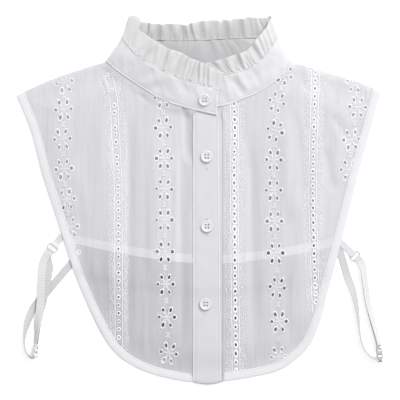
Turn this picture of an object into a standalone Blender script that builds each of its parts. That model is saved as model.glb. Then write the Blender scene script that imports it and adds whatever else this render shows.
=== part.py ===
"""Detachable collar: a buttoned dickey of sheer embroidered cotton with a ruffled stand band.

It lies flat on its back on z = 0 with its front up (+Z) and its neck towards +Y. Left and right are
as seen from above. Sizes in the tables are millimetres; MM turns them into metres.
"""
import math
from collections import namedtuple

import bmesh
import bpy
from mathutils import Matrix, Vector
from mathutils.geometry import delaunay_2d_cdt

MM = 0.001

# Driving sizes of the cloth, in millimetres
CLOTH = 1.0
SEAM_GAP = 0.3
BINDING_WIDTH = 8.7
BINDING_THICK = 1.7
PLACKET_THICK = 1.4
BAND_THICK = 1.5
NECK_GAP = 0.8
FRONT_REST = CLOTH + SEAM_GAP
BACK_INSET = 2.0
MESH_STEP = 14.0
SLIVER = 0.02

# Placket and button stand, in millimetres
PLACKET_LEFT = -5.6
PLACKET_RIGHT_TOP = 19.8
PLACKET_RIGHT_HEM = 22.4
PLACKET_HEM = -184.0
STAND_LEFT = -5.2
STAND_RIGHT = 24.2
STAND_HEM = -181.8
FIRM_FADE = 8.0
STAND_TOP_ROW = 78.0

# Buttons, in millimetres
BUTTON_RADIUS = 6.0
BUTTON_THICK = 2.2
BUTTON_HOLE_RADIUS = 0.85
BUTTON_HOLE_SPREAD = 1.45
BUTTON_STEPS = 20

# Embroidered flower: four of its six petal eyelets are longer than 4 mm and are cut through
PETAL_ACROSS = 4.1
PETAL_UP = 7.9
PETAL_HALF_WIDTH = 1.3
PETAL_HALF_LENGTH = 2.2
PETAL_SIDES = 6
PETAL_MARGIN = 3.4

# Frill, in millimetres
FRILL_PITCH = 9.6
FRILL_WAVE_SEAM = 0.4
FRILL_WAVE_EDGE = 2.1
FRILL_SAMPLES = 6
FRILL_START = 0.7

# Elastic, tabs, rings and sliders, in millimetres
ELASTIC_WIDTH = 7.6
ELASTIC_THICK = 1.0
LAYER_GAP = 0.45
TAB_WIDTH = 7.0
RING_WIRE = 0.7
SLIDER_THICK = 1.2

Point = namedtuple("Point", "x y")

LEFT_EDGE = [
    Point(-182.1, 104.6), Point(-167.8, 69.4), Point(-156.6, 26.6), Point(-145.0, -9.1),
    Point(-130.2, -55.3), Point(-118.0, -89.0), Point(-97.4, -132.0), Point(-82.7, -153.2),
    Point(-62.9, -167.2), Point(-41.2, -175.5), Point(-15.7, -180.9), Point(-5.9, -181.8),
]
RIGHT_EDGE = [
    Point(182.4, 108.6), Point(171.4, 68.6), Point(160.9, 31.1), Point(148.4, -18.9),
    Point(138.5, -57.4), Point(128.4, -94.1), Point(122.2, -119.6), Point(111.6, -144.1),
    Point(97.2, -159.3), Point(79.7, -170.4), Point(53.4, -176.8), Point(24.5, -181.4),
]
LEFT_SHOULDER = [
    Point(-182.1, 104.6), Point(-158.6, 116.2), Point(-138.6, 124.2), Point(-118.6, 131.0),
    Point(-94.6, 138.2),
]
RIGHT_SHOULDER = [
    Point(182.4, 108.6), Point(161.4, 118.0), Point(141.4, 124.2), Point(121.4, 130.2),
    Point(95.0, 138.0),
]

# One row for each place around the neck, from the end that lies on top to the end under it
NeckRow = namedtuple("NeckRow", "name bottom seam edge")
NECK = [
    NeckRow("overlap_end", (17.9, 85.4, 7.6), (19.3, 111.4, 12.0), (23.4, 127.0, 16.8)),
    NeckRow("front_left_1", (-6.8, 91.0, 7.2), (-2.9, 118.0, 13.4), (3.5, 136.8, 18.4)),
    NeckRow("front_left_2", (-27.2, 97.0, 6.8), (-22.0, 124.2, 13.8), (-14.5, 144.8, 19.0)),
    NeckRow("front_left_3", (-47.6, 107.0, 6.2), (-38.4, 131.8, 13.6), (-29.3, 151.0, 19.0)),
    NeckRow("front_left_4", (-73.1, 123.7, 5.6), (-60.0, 144.7, 13.0), (-47.2, 160.8, 17.8)),
    NeckRow("side_left_front", (-86.6, 133.6, 4.9), (-71.2, 157.2, 11.8), (-62.0, 172.6, 14.4)),
    NeckRow("fold_left", (-92.0, 138.8, 3.0), (-75.4, 163.4, 6.8), (-69.2, 182.6, 7.6)),
    NeckRow("side_left_back", (-86.0, 137.6, 1.0), (-69.6, 163.2, 1.3), (-62.4, 179.4, 3.8)),
    NeckRow("back_left", (-60.0, 131.6, 1.0), (-36.0, 160.2, 1.0), (-35.0, 176.6, 3.6)),
    NeckRow("back_middle", (0.0, 128.6, 1.0), (0.0, 160.4, 1.0), (0.0, 177.0, 3.6)),
    NeckRow("back_right", (60.0, 131.6, 1.0), (36.0, 162.2, 1.0), (38.0, 180.4, 3.6)),
    NeckRow("side_right_back", (86.6, 137.0, 1.0), (71.4, 163.0, 1.3), (64.0, 180.6, 3.8)),
    NeckRow("fold_right", (92.4, 138.0, 3.0), (78.4, 162.8, 6.8), (71.0, 182.6, 7.6)),
    NeckRow("side_right_front", (88.4, 131.8, 4.9), (74.0, 155.0, 10.8), (66.6, 171.4, 13.6)),
    NeckRow("front_right_4", (81.0, 123.6, 5.2), (66.6, 145.6, 11.6), (58.6, 161.2, 16.4)),
    NeckRow("front_right_3", (67.0, 112.2, 5.4), (56.0, 135.8, 11.4), (47.0, 148.8, 16.2)),
    NeckRow("front_right_2", (45.3, 101.4, 5.4), (41.1, 129.4, 10.8), (29.0, 142.6, 14.6)),
    NeckRow("front_right_1", (21.2, 93.8, 5.2), (24.2, 126.6, 9.2), (8.6, 136.6, 11.8)),
    NeckRow("under_end", (-2.0, 92.6, 5.0), (2.0, 122.6, 8.2), (-9.0, 133.0, 9.6)),
]
NECK_PLACE = {row.name: index for index, row in enumerate(NECK)}

# Soft ridges of the worn cloth, each along a line; the troughs are what lies between them
Ridge = namedtuple("Ridge", "x_top y_top x_hem y_hem half_width height")
RIDGES = [
    Ridge(-104.0, 118.0, -84.0, -128.0, 9.0, 1.6),
    Ridge(-88.0, 60.0, -80.0, -110.0, 8.0, 1.5),
    Ridge(-44.0, 88.0, -36.0, -160.0, 11.0, 2.6),
    Ridge(-22.0, 60.0, -24.0, -150.0, 5.0, 1.2),
    Ridge(32.4, 84.0, 34.0, -168.0, 8.0, 1.7),
    Ridge(83.0, 92.0, 96.0, -25.0, 9.0, 2.3),
    Ridge(100.0, -40.0, 96.0, -132.0, 8.0, 1.8),
    Ridge(116.0, 96.0, 118.0, -60.0, 7.0, 1.4),
    Ridge(142.0, 98.0, 138.0, 10.0, 9.0, 1.7),
    Ridge(-150.0, 90.0, -134.0, -20.0, 9.0, 1.3),
]

FlowerColumn = namedtuple("FlowerColumn", "name side x_top x_middle x_hem heights")
FLOWERS = [
    FlowerColumn("outer_left", "left", -134.6, -134.6, -123.0,
                 (117.9, 91.1, 61.1, 30.4, 0.4, -25.9, -52.1)),
    FlowerColumn("inner_left", "left", -34.8, -34.1, -29.8,
                 (102.4, 72.4, 42.4, 11.1, -19.6, -50.9, -83.9, -116.4, -152.6)),
    FlowerColumn("inner_right", "right", 80.6, 75.2, 79.2,
                 (100.4, 70.4, 41.1, 9.1, -21.6, -53.4, -87.1, -120.9, -152.1)),
    FlowerColumn("outer_right", "right", 157.6, 155.4, 150.2, (117.9, 92.9, 60.4, 30.4)),
]

ButtonPlace = namedtuple("ButtonPlace", "name x y")
PLACKET_BUTTONS = [
    ButtonPlace("button_2", 8.1, 43.9),
    ButtonPlace("button_3", 8.4, -25.9),
    ButtonPlace("button_4", 6.9, -103.5),
]
BAND_BUTTON_ALONG = 0.58
BAND_BUTTON_UP = 0.46

# Each run of elastic lies on the surface. A row gives where its middle goes, how far it is rolled
# from lying flat, in degrees, how far it is lifted and how far it is moved across its own width
Run = namedtuple("Run", "x y roll lift across")
Strap = namedtuple("Strap", "name layer rows")
DOUBLED_LEFT = [
    Run(-150.2, -51.4, 0, 0, 0), Run(-153.9, -58.0, 0, 0, 0), Run(-155.8, -65.0, 0, 0.5, 0),
    Run(-156.8, -78.0, 0, 1.5, 0),
    Run(-157.7, -98.0, 0, 1.5, 0), Run(-159.0, -112.0, 8, 1.5, 0), Run(-160.2, -122.0, 30, 0.4, 0),
    Run(-160.8, -133.0, 56, 0, 0), Run(-161.8, -143.2, 64, 0, 0),
]
SPREAD_LEFT = (0, 4.4, 7.0, 6.0, 3.0, 0.6, 0, 0, 0)
DOUBLED_RIGHT = [
    Run(159.9, -58.9, 0, 0, 0), Run(162.2, -62.2, 8, 0, 0), Run(163.8, -68.0, 26, 0, 0),
    Run(165.4, -80.6, 42, 0, 0),
    Run(168.4, -101.6, 42, 0, 0), Run(173.8, -121.6, 50, 0, 0), Run(179.4, -139.0, 58, 0, 0),
    Run(180.8, -145.6, 60, 0, 0),
]
STRAPS = [
    Strap("strap_over_left", 1, DOUBLED_LEFT),
    Strap("strap_under_left", 0, [row._replace(across=spread)
                                  for row, spread in zip(DOUBLED_LEFT, SPREAD_LEFT)]),
    Strap("strap_return_left", 0, [
        Run(-163.8, -156.9, 66, 0, 0), Run(-169.0, -158.0, 72, 0, 0), Run(-173.6, -151.0, 74, 0, 0),
        Run(-174.9, -141.6, 70, 0, 0), Run(-173.6, -131.6, 56, 0, 0), Run(-170.6, -120.0, 24, 0, 0),
        Run(-165.0, -107.0, 0, 0, 0), Run(-155.0, -95.6, 0, 0, 0), Run(-146.0, -85.0, 0, 0, 0),
        Run(-136.6, -74.6, 0, 0, 0), Run(-129.0, -67.0, 0, 0, 0),
    ]),
    Strap("strap_over_right", 1, DOUBLED_RIGHT),
    Strap("strap_under_right", 0, DOUBLED_RIGHT),
    Strap("strap_return_right", 0, [
        Run(137.8, -60.0, 0, 0, 0), Run(142.8, -66.0, 0, 0, 0), Run(148.4, -75.0, -4, 0, 0),
        Run(154.6, -91.0, -34, 0, 0), Run(158.8, -111.6, -62, 0, 0), Run(161.0, -131.6, -76, 0, 0),
        Run(164.4, -145.6, -80, 0, 0), Run(170.4, -154.4, -80, 0, 0), Run(176.4, -158.0, -76, 0, 0),
        Run(180.8, -159.8, -70, 0, 0),
    ]),
]

Fitting = namedtuple("Fitting", "name x y z turn roll width length")
RINGS = [
    Fitting("ring_left", -146.0, -47.3, 1.1, -38, 0, 11.6, 7.2),
    Fitting("ring_right", 156.4, -55.6, 1.1, 46, 0, 11.6, 7.2),
]
SLIDERS = [
    Fitting("slider_left", -163.0, -149.9, 5.2, -8, 64, 10.4, 11.6),
    Fitting("slider_right", 180.6, -152.6, 5.0, 8, 60, 10.4, 11.6),
]
Tab = namedtuple("Tab", "name x_start y_start x_end y_end")
TABS = [
    Tab("tab_left", -138.2, -37.4, -143.6, -44.2),
    Tab("tab_right", 142.6, -42.6, 153.6, -52.9),
]

HEM_MIDDLE_X = 12.0
HEM_LOWEST_Y = -63.4
HEM_RISE = 18.0
HEM_HALF_SPAN = 125.0
HEM_POWER = 1.6
CROWN = 2.6
CROWN_FADE = 26.0
RAMP_START = 22.0
RAMP_LENGTH = 14.0
BACK_CORNER_Y = -33.0
CORNER_DROP = 12.0
BACK_STEP = 20.0


def start_clean():
    """Remove every object and make the collar's collections."""
    for item in list(bpy.data.objects):
        bpy.data.objects.remove(item)
    pieces = bpy.data.collections.new("detachable_collar")
    cutters = bpy.data.collections.new("cutters")
    bpy.context.scene.collection.children.link(pieces)
    bpy.context.scene.collection.children.link(cutters)
    return pieces, cutters


def make_material(name, colour, roughness, metallic=0.0):
    """A plain Principled material."""
    material = bpy.data.materials.new(name)
    material.use_nodes = True
    shader = material.node_tree.nodes["Principled BSDF"]
    shader.inputs["Base Color"].default_value = (*colour, 1.0)
    shader.inputs["Roughness"].default_value = roughness
    shader.inputs["Metallic"].default_value = metallic
    return material


def catmull(rows, place):
    """Point at a fractional row number on the smooth curve through rows of numbers."""
    last = len(rows) - 1
    index = min(max(int(math.floor(place)), 0), last - 1)
    t = place - index
    before = rows[max(index - 1, 0)]
    start = rows[index]
    end = rows[index + 1]
    after = rows[min(index + 2, last)]
    result = []
    for p0, p1, p2, p3 in zip(before, start, end, after):
        result.append(0.5 * (2 * p1 + (p2 - p0) * t + (2 * p0 - 5 * p1 + 4 * p2 - p3) * t * t
                             + (3 * p1 - p0 - 3 * p2 + p3) * t ** 3))
    return result


def walk(rows, step):
    """Fractional row numbers that divide the smooth curve into even lengths of about step."""
    fine = 24
    places = [i / fine for i in range((len(rows) - 1) * fine + 1)]
    points = [Vector(catmull(rows, place)[:3]) for place in places]
    lengths = [0.0]
    for a, b in zip(points, points[1:]):
        lengths.append(lengths[-1] + (b - a).length)
    count = max(2, round(lengths[-1] / step))
    found = []
    cursor = 0
    for k in range(count + 1):
        target = lengths[-1] * k / count
        while cursor < len(lengths) - 2 and lengths[cursor + 1] < target:
            cursor += 1
        span = lengths[cursor + 1] - lengths[cursor]
        part = (target - lengths[cursor]) / span if span > 0 else 0.0
        found.append(places[cursor] + min(max(part, 0.0), 1.0) / fine)
    return found


def smooth_line(points, step):
    """Even points on the smooth curve through the table's points."""
    return [Vector(catmull(points, place)) for place in walk([(*p, 0.0) for p in points], step)]


def shifted(line, distance):
    """The line moved sideways, to its left as it is walked."""
    moved = []
    for i, point in enumerate(line):
        ahead = line[min(i + 1, len(line) - 1)]
        behind = line[max(i - 1, 0)]
        along = (ahead - behind).normalized()
        moved.append(point + Vector((-along.y, along.x)) * distance)
    return moved


def smoothstep(value):
    value = min(max(value, 0.0), 1.0)
    return value * value * (3 - 2 * value)


def height_on(line, x):
    """The y of a line, given as points that run along x, at one x."""
    ordered = sorted(line, key=lambda point: point.x)
    if x <= ordered[0].x:
        return ordered[0].y
    for a, b in zip(ordered, ordered[1:]):
        if a.x <= x <= b.x and b.x > a.x:
            return a.y + (b.y - a.y) * (x - a.x) / (b.x - a.x)
    return ordered[-1].y


def distance_to_side(point, a, b):
    """Distance from a point to the straight side from a to b."""
    side = b - a
    t = min(max((point - a).dot(side) / max(side.length_squared, 1e-9), 0.0), 1.0)
    return (a + side * t - point).length


def hem_of_back(x):
    """The y of the back's curved hem."""
    return HEM_LOWEST_Y + HEM_RISE * (abs(x - HEM_MIDDLE_X) / HEM_HALF_SPAN) ** HEM_POWER


def ridge_lift(x, y):
    """How far the soft ridges raise the front."""
    lift = 0.0
    for ridge in RIDGES:
        part = (ridge.y_top - y) / (ridge.y_top - ridge.y_hem)
        middle = ridge.x_top + (ridge.x_hem - ridge.x_top) * part
        ends = smoothstep(part * 5) * smoothstep((1 - part) * 5)
        lift += ridge.height * ends * math.exp(-((x - middle) / ridge.half_width) ** 2)
    firm_middle = (STAND_LEFT + STAND_RIGHT) / 2
    firm_half = (STAND_RIGHT - STAND_LEFT) / 2
    return lift * smoothstep((abs(x - firm_middle) - firm_half) / FIRM_FADE)


def front_rim():
    """The closed seams and edges round the front, from one side of the neck to the other."""
    rows = LEFT_SHOULDER[:0:-1] + LEFT_EDGE + RIGHT_EDGE[:0:-1] + RIGHT_SHOULDER
    return [Vector(row) for row in rows]


FRONT_RIM = front_rim()


def crown_lift(x, y):
    """The air that holds the front a little off what is under it, nothing at its closed rim."""
    point = Vector((x, y))
    nearest = min(distance_to_side(point, a, b) for a, b in zip(FRONT_RIM, FRONT_RIM[1:]))
    return CROWN * smoothstep((nearest - BINDING_WIDTH) / CROWN_FADE)


def front_floor(x, y):
    """Underside of the front: it lies on the back, and past the back's hem on the surface."""
    past_hem = smoothstep((hem_of_back(x) - RAMP_START - y) / RAMP_LENGTH)
    return FRONT_REST * (1 - past_hem) + crown_lift(x, y) + ridge_lift(x, y)


def back_floor(x, y):
    """The back lies flat on the surface."""
    return 0.0


def inside(point, polygon):
    """Whether a point is inside a closed polygon."""
    found = False
    for a, b in zip(polygon, polygon[1:] + polygon[:1]):
        if (a.y > point.y) != (b.y > point.y):
            if point.x < (b.x - a.x) * (point.y - a.y) / (b.y - a.y) + a.x:
                found = not found
    return found


def clearance(point, polygon):
    """Distance from a point to the nearest side of a polygon."""
    return min(distance_to_side(point, a, b) for a, b in zip(polygon, polygon[1:] + polygon[:1]))


def raise_sheet(name, points, faces, floor, thickness, material, collection):
    """A closed cloth wall: the flat faces are set on floor(x, y) and extruded upwards."""
    bm = bmesh.new()
    corners = [bm.verts.new((p.x * MM, p.y * MM, floor(p.x, p.y) * MM)) for p in points]
    for face in faces:
        bm.faces.new([corners[i] for i in face])
    loose = [v for v in bm.verts if not v.link_faces]
    bmesh.ops.delete(bm, geom=loose, context="VERTS")
    grown = bmesh.ops.extrude_face_region(bm, geom=bm.faces[:])
    top = [v for v in grown["geom"] if isinstance(v, bmesh.types.BMVert)]
    bmesh.ops.translate(bm, verts=top, vec=(0, 0, thickness * MM))
    bmesh.ops.recalc_face_normals(bm, faces=bm.faces[:])
    return finish_mesh(name, bm, material, collection)


def finish_mesh(name, bm, material, collection, smooth_angle=40):
    """Turn a bmesh into a named object with its material."""
    mesh = bpy.data.meshes.new(name)
    bm.to_mesh(mesh)
    bm.free()
    mesh.materials.append(material)
    mesh.shade_smooth()
    mesh.set_sharp_from_angle(angle=math.radians(smooth_angle))
    piece = bpy.data.objects.new(name, mesh)
    collection.objects.link(piece)
    return piece


def panel(name, outline, holes, floor, thickness, material, collection, step=MESH_STEP):
    """A cloth panel with its outline and cut holes, triangulated over an even net of points."""
    points = list(outline)
    loops = [list(range(len(outline)))]
    for hole in holes:
        loops.append(list(range(len(points), len(points) + len(hole))))
        points.extend(hole)
    edges = [(a, b) for loop in loops for a, b in zip(loop, loop[1:] + loop[:1])]
    low_x = min(p.x for p in outline)
    low_y = min(p.y for p in outline)
    columns = int((max(p.x for p in outline) - low_x) / step) + 1
    rows = int((max(p.y for p in outline) - low_y) / step) + 1
    for row in range(rows):
        for column in range(columns):
            net = Vector((low_x + (column + 0.5) * step, low_y + (row + 0.5) * step))
            if not inside(net, outline) or clearance(net, outline) < 0.4 * step:
                continue
            if any((net - hole[0]).length < 0.45 * step for hole in holes):
                continue
            points.append(net)
    found = delaunay_2d_cdt(points, edges, [], 0, 1e-5)
    places = found[0]
    kept = []
    for face in found[2]:
        middle = sum((places[i] for i in face), Vector((0.0, 0.0))) / len(face)
        a, b, c = (places[i] for i in face)
        if abs((b - a).cross(c - a)) < SLIVER:
            continue
        if inside(middle, outline) and not any(inside(middle, hole) for hole in holes):
            kept.append(face)
    return raise_sheet(name, places, kept, floor, thickness, material, collection)


def strip(name, rail_a, rail_b, floor, thickness, material, collection):
    """A cloth strip between two rails of equal length."""
    points = [p for pair in zip(rail_a, rail_b) for p in pair]
    faces = [(2 * i, 2 * i + 1, 2 * i + 3, 2 * i + 2) for i in range(len(rail_a) - 1)]
    return raise_sheet(name, points, faces, floor, thickness, material, collection)


def neck_point(place, part):
    """A point at a place around the neck: part 0 to 1 is the band, 1 to 2 is the frill."""
    rows = [row.bottom + row.seam + row.edge for row in NECK]
    values = catmull(rows, place)
    bottom = Vector(values[0:3])
    seam = Vector(values[3:6])
    edge = Vector(values[6:9])
    if part <= 1:
        return bottom.lerp(seam, part)
    return seam.lerp(edge, part - 1)


def neck_normal(place, part):
    """Outward direction of the band or frill at a place."""
    reach = 0.02
    along = neck_point(place + reach, part) - neck_point(place - reach, part)
    if part < 1:
        up = neck_point(place, 1) - neck_point(place, 0)
    else:
        up = neck_point(place, 2) - neck_point(place, 1)
    return up.cross(along).normalized()


def neck_places(first, last, step):
    """Even places along the seam between two rows, short of each end by half a seam gap."""
    rows = [row.seam for row in NECK[first:last + 1]]
    places = [first + place for place in walk(rows, step)]
    for end, side in ((0, 1), (-1, -1)):
        if 0 < places[end] < len(NECK) - 1:
            speed = (neck_point(places[end] + 0.01, 1) - neck_point(places[end] - 0.01, 1)).length
            places[end] += side * 0.02 * SEAM_GAP / max(speed, 1e-6)
    return places


def neckline(first, last, distance):
    """The band's lower edge seen from above, moved off the band by a distance."""
    places = neck_places(first, last, 8.0)
    line = [Vector(neck_point(place, 0)[:2]) for place in places]
    return shifted(line, distance)


def wall_from_grid(name, grid, thickness, material, collection):
    """An open surface of rows of points, given its thickness both ways by Solidify."""
    bm = bmesh.new()
    corners = [[bm.verts.new(p * MM) for p in row] for row in grid]
    for low, high in zip(corners, corners[1:]):
        for i in range(len(low) - 1):
            bm.faces.new((low[i], low[i + 1], high[i + 1], high[i]))
    piece = finish_mesh(name, bm, material, collection, smooth_angle=60)
    solid = piece.modifiers.new("cloth", "SOLIDIFY")
    solid.thickness = thickness * MM
    solid.offset = 0.0
    solid.use_even_offset = True
    solid.use_quality_normals = True
    return piece


def band_piece(name, first, last, material, collection):
    """One length of the stand band."""
    places = neck_places(first, last, 7.0)
    grid = [[neck_point(place, part) for place in places] for part in (0.0, 0.5, 1.0)]
    return wall_from_grid(name, grid, BAND_THICK, material, collection)


def frill_wave(along, part):
    """Sideways throw of the gathers, uneven in pitch and depth and deepest at the free edge."""
    phase = along / FRILL_PITCH + 0.22 * math.sin(along / 17.0) + 0.13 * math.sin(along / 6.1 + 1.0)
    depth = FRILL_WAVE_SEAM + (FRILL_WAVE_EDGE - FRILL_WAVE_SEAM) * smoothstep(part)
    return depth * (0.85 + 0.15 * math.sin(along / 11.0)) * math.sin(2 * math.pi * phase)


def frill_piece(name, first, last, material, collection):
    """One length of the gathered frill."""
    step = FRILL_PITCH / FRILL_SAMPLES
    places = neck_places(first, last, step)
    grid = []
    for part in (0.0, 0.45, 1.0):
        row = []
        for i, place in enumerate(places):
            seam = neck_point(place, 1)
            edge = neck_point(place, 2)
            start = FRILL_START / (edge - seam).length
            point = seam.lerp(edge, start + (1 - start) * part)
            calm = smoothstep((place - NECK_PLACE["front_right_2"]) / 1.2)
            throw = frill_wave(i * step, part) * (1 - 0.6 * calm)
            row.append(point + neck_normal(place, 1.0) * throw)
        grid.append(row)
    return wall_from_grid(name, grid, CLOTH, material, collection)


def meet_shoulder(line, shoulder):
    """Lengthen or shorten a side line so that it starts on the shoulder line."""
    along = (line[0] - line[1]).normalized()
    point = line[0].copy()
    for _ in range(40):
        point += along * (height_on(shoulder, point.x) - point.y) * 0.8
    kept = [p for p in line[1:] if p.y < point.y - 2.0]
    return [point] + kept


def side_lines(edge_table, shoulder_table, side, inset):
    """A side edge, the line inside its binding and the panel's own edge, from the shoulder down."""
    edge = smooth_line(edge_table, 12.0)
    shoulder = smooth_line(shoulder_table, 10.0)
    turn = 1 if side == "left" else -1
    widths = (inset, inset + BINDING_WIDTH, inset + BINDING_WIDTH + SEAM_GAP)
    lines = [meet_shoulder(shifted(edge, turn * width), shoulder) for width in widths]
    shortest = min(len(line) for line in lines)
    lines = [line[:1] + line[len(line) - shortest + 1:] for line in lines]
    return lines, shoulder


def cut_at(line, y):
    """The part of a falling line above one y, ended on it."""
    kept = []
    for a, b in zip(line, line[1:]):
        kept.append(a)
        if b.y <= y:
            kept.append(a.lerp(b, (a.y - y) / (a.y - b.y)))
            break
    return kept


def petals(side, outline):
    """Petal eyelets of the flowers on one front that lie clear of its outline."""
    holes = []
    for column in FLOWERS:
        if column.side != side:
            continue
        for number, height in enumerate(column.heights):
            t = number / (len(column.heights) - 1)
            middle = ((1 - t) * (1 - 2 * t) * column.x_top + 4 * t * (1 - t) * column.x_middle
                      + t * (2 * t - 1) * column.x_hem)
            for across in (-1, 1):
                for up in (-1, 1):
                    offset = Vector((across * PETAL_ACROSS, up * PETAL_UP))
                    centre = Vector((middle, height)) + offset
                    if inside(centre, outline) and clearance(centre, outline) > PETAL_MARGIN:
                        holes.append(petal(centre, math.atan2(offset.y, offset.x)))
    return holes


def petal(centre, angle):
    """A small oval that points away from its flower's middle."""
    long_way = Vector((math.cos(angle), math.sin(angle))) * PETAL_HALF_LENGTH
    short_way = Vector((-math.sin(angle), math.cos(angle))) * PETAL_HALF_WIDTH
    loop = []
    for k in range(PETAL_SIDES):
        turn = 2 * math.pi * k / PETAL_SIDES
        loop.append(centre + long_way * math.cos(turn) + short_way * math.sin(turn))
    return loop


def make_fronts(cloth, trim, collection):
    """Both fronts with their cut petals, and the binding round each."""
    for side in ("left", "right"):
        left = side == "left"
        tables = (LEFT_EDGE, LEFT_SHOULDER) if left else (RIGHT_EDGE, RIGHT_SHOULDER)
        (outer, inner, rim), shoulder = side_lines(*tables, side, 0.0)
        centre_x = PLACKET_LEFT - SEAM_GAP if left else STAND_RIGHT + SEAM_GAP
        for line in (outer, inner, rim):
            line[-1] = Vector((centre_x, line[-1].y))
        strip(f"binding_front_{side}", outer, inner, front_floor, BINDING_THICK, trim, collection)
        if left:
            neck = neckline(NECK_PLACE["overlap_end"], NECK_PLACE["fold_left"], NECK_GAP)
        else:
            neck = neckline(NECK_PLACE["fold_right"], NECK_PLACE["under_end"], NECK_GAP)
            neck.reverse()
        top = Vector((centre_x, height_on(neck, centre_x)))
        reach = abs(shoulder[-1].x) - 4.0
        neck = [p for p in neck if abs(centre_x) + 3.0 < abs(p.x) < reach and p.x * centre_x > 0]
        rise = round((top.y - rim[-1].y) / MESH_STEP)
        centre = [rim[-1].lerp(top, k / rise) for k in range(1, rise + 1)]
        outline = rim + centre + neck + shoulder[:0:-1]
        outline = [p for p in outline if p in rim or abs(p.x) < abs(rim[0].x) - 3.0]
        holes = petals(side, outline)
        panel(f"front_{side}", outline, holes, front_floor, CLOTH, cloth, collection)


def make_back(cloth, trim, collection):
    """The short plain back and its three lengths of binding."""
    rims = {}
    shoulders = {}
    corners = {}
    for side, tables in (("left", (LEFT_EDGE, LEFT_SHOULDER)), ("right", (RIGHT_EDGE, RIGHT_SHOULDER))):
        (outer, inner, rim), shoulder = side_lines(*tables, side, BACK_INSET)
        strip(f"binding_back_{side}", cut_at(outer, BACK_CORNER_Y), cut_at(inner, BACK_CORNER_Y),
              back_floor, CLOTH, trim, collection)
        rims[side] = cut_at(rim, BACK_CORNER_Y)
        shoulders[side] = shoulder
        corners[side] = (cut_at(outer, BACK_CORNER_Y - CORNER_DROP)[-1].x,
                         cut_at(outer, BACK_CORNER_Y - SEAM_GAP)[-1].x)
    count = 22
    hem_low = []
    hem_high = []
    for k in range(count + 1):
        x_low, x_high = (corners["left"][i] + (corners["right"][i] - corners["left"][i]) * k / count
                         for i in (0, 1))
        hem_low.append(Vector((x_low, hem_of_back(x_low))))
        hem_high.append(Vector((x_high, min(hem_of_back(x_high) + BINDING_WIDTH,
                                            BACK_CORNER_Y - SEAM_GAP))))
    for end in (0, -1):
        hem_high[end] = Vector((hem_high[end].x, BACK_CORNER_Y - SEAM_GAP))
    strip("binding_back_hem", hem_low, hem_high, back_floor, CLOTH, trim, collection)
    neck = neckline(NECK_PLACE["fold_left"], NECK_PLACE["fold_right"], -NECK_GAP)
    ends = (shoulders["left"][-1].x + 4.0, shoulders["right"][-1].x - 4.0)
    neck = [p for p in neck if ends[0] < p.x < ends[1]]
    corner_xs = (rims["left"][-1].x + 2.0, rims["right"][-1].x - 2.0)
    hem_top = [p + Vector((0, SEAM_GAP)) for p in hem_high if corner_xs[0] < p.x < corner_xs[1]]
    left_top = [p for p in shoulders["left"][::-1] if p.x > rims["left"][0].x + 3.0]
    right_top = [p for p in shoulders["right"] if p.x < rims["right"][0].x - 3.0]
    outline = rims["left"] + hem_top + rims["right"][::-1] + right_top + neck[::-1] + left_top
    panel("back_panel", outline, [], back_floor, CLOTH, cloth, collection, step=BACK_STEP)


def make_plackets(trim, collection):
    """The button stand, and the buttonhole placket that lies on it."""
    rows = 16
    heights = [STAND_TOP_ROW + (STAND_HEM - STAND_TOP_ROW) * k / rows for k in range(rows + 1)]
    stand_neck = neckline(NECK_PLACE["front_right_2"], NECK_PLACE["under_end"], NECK_GAP)
    rails = []
    for t in (0.0, 0.25, 0.5, 0.75, 1.0):
        x = STAND_LEFT + (STAND_RIGHT - STAND_LEFT) * t
        rails.append([Vector((x, y)) for y in [height_on(stand_neck, x)] + heights])
    lattice("placket_under", rails, front_floor, CLOTH, trim, collection)
    band_neck = neckline(NECK_PLACE["overlap_end"], NECK_PLACE["front_left_2"], NECK_GAP)
    rails = []
    for t in (0.0, 0.25, 0.5, 0.75, 1.0):
        x_top = PLACKET_LEFT + (PLACKET_RIGHT_TOP - PLACKET_LEFT) * t
        x_hem = PLACKET_LEFT + (PLACKET_RIGHT_HEM - PLACKET_LEFT) * t
        top = height_on(band_neck, x_top)
        rail = [Vector((x_top, top))]
        for y in heights:
            down = (top - y) / (top - STAND_HEM)
            rail.append(Vector((x_top + (x_hem - x_top) * down, y)))
        droop = (PLACKET_HEM - STAND_HEM) * (1 - (2 * t - 1) ** 2)
        rail[-1] = rail[-1] + Vector((0, droop))
        rails.append(rail)
    lattice("placket", rails, placket_floor, PLACKET_THICK, trim, collection)


def lattice(name, rails, floor, thickness, material, collection):
    """A cloth strip through several rails of equal length."""
    points = [p for row in zip(*rails) for p in row]
    wide = len(rails)
    faces = [(wide * k + i, wide * k + i + 1, wide * (k + 1) + i + 1, wide * (k + 1) + i)
             for k in range(len(rails[0]) - 1) for i in range(wide - 1)]
    return raise_sheet(name, points, faces, floor, thickness, material, collection)


def placket_floor(x, y):
    """The placket lies on the button stand."""
    return front_floor(x, y) + CLOTH + SEAM_GAP


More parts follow.
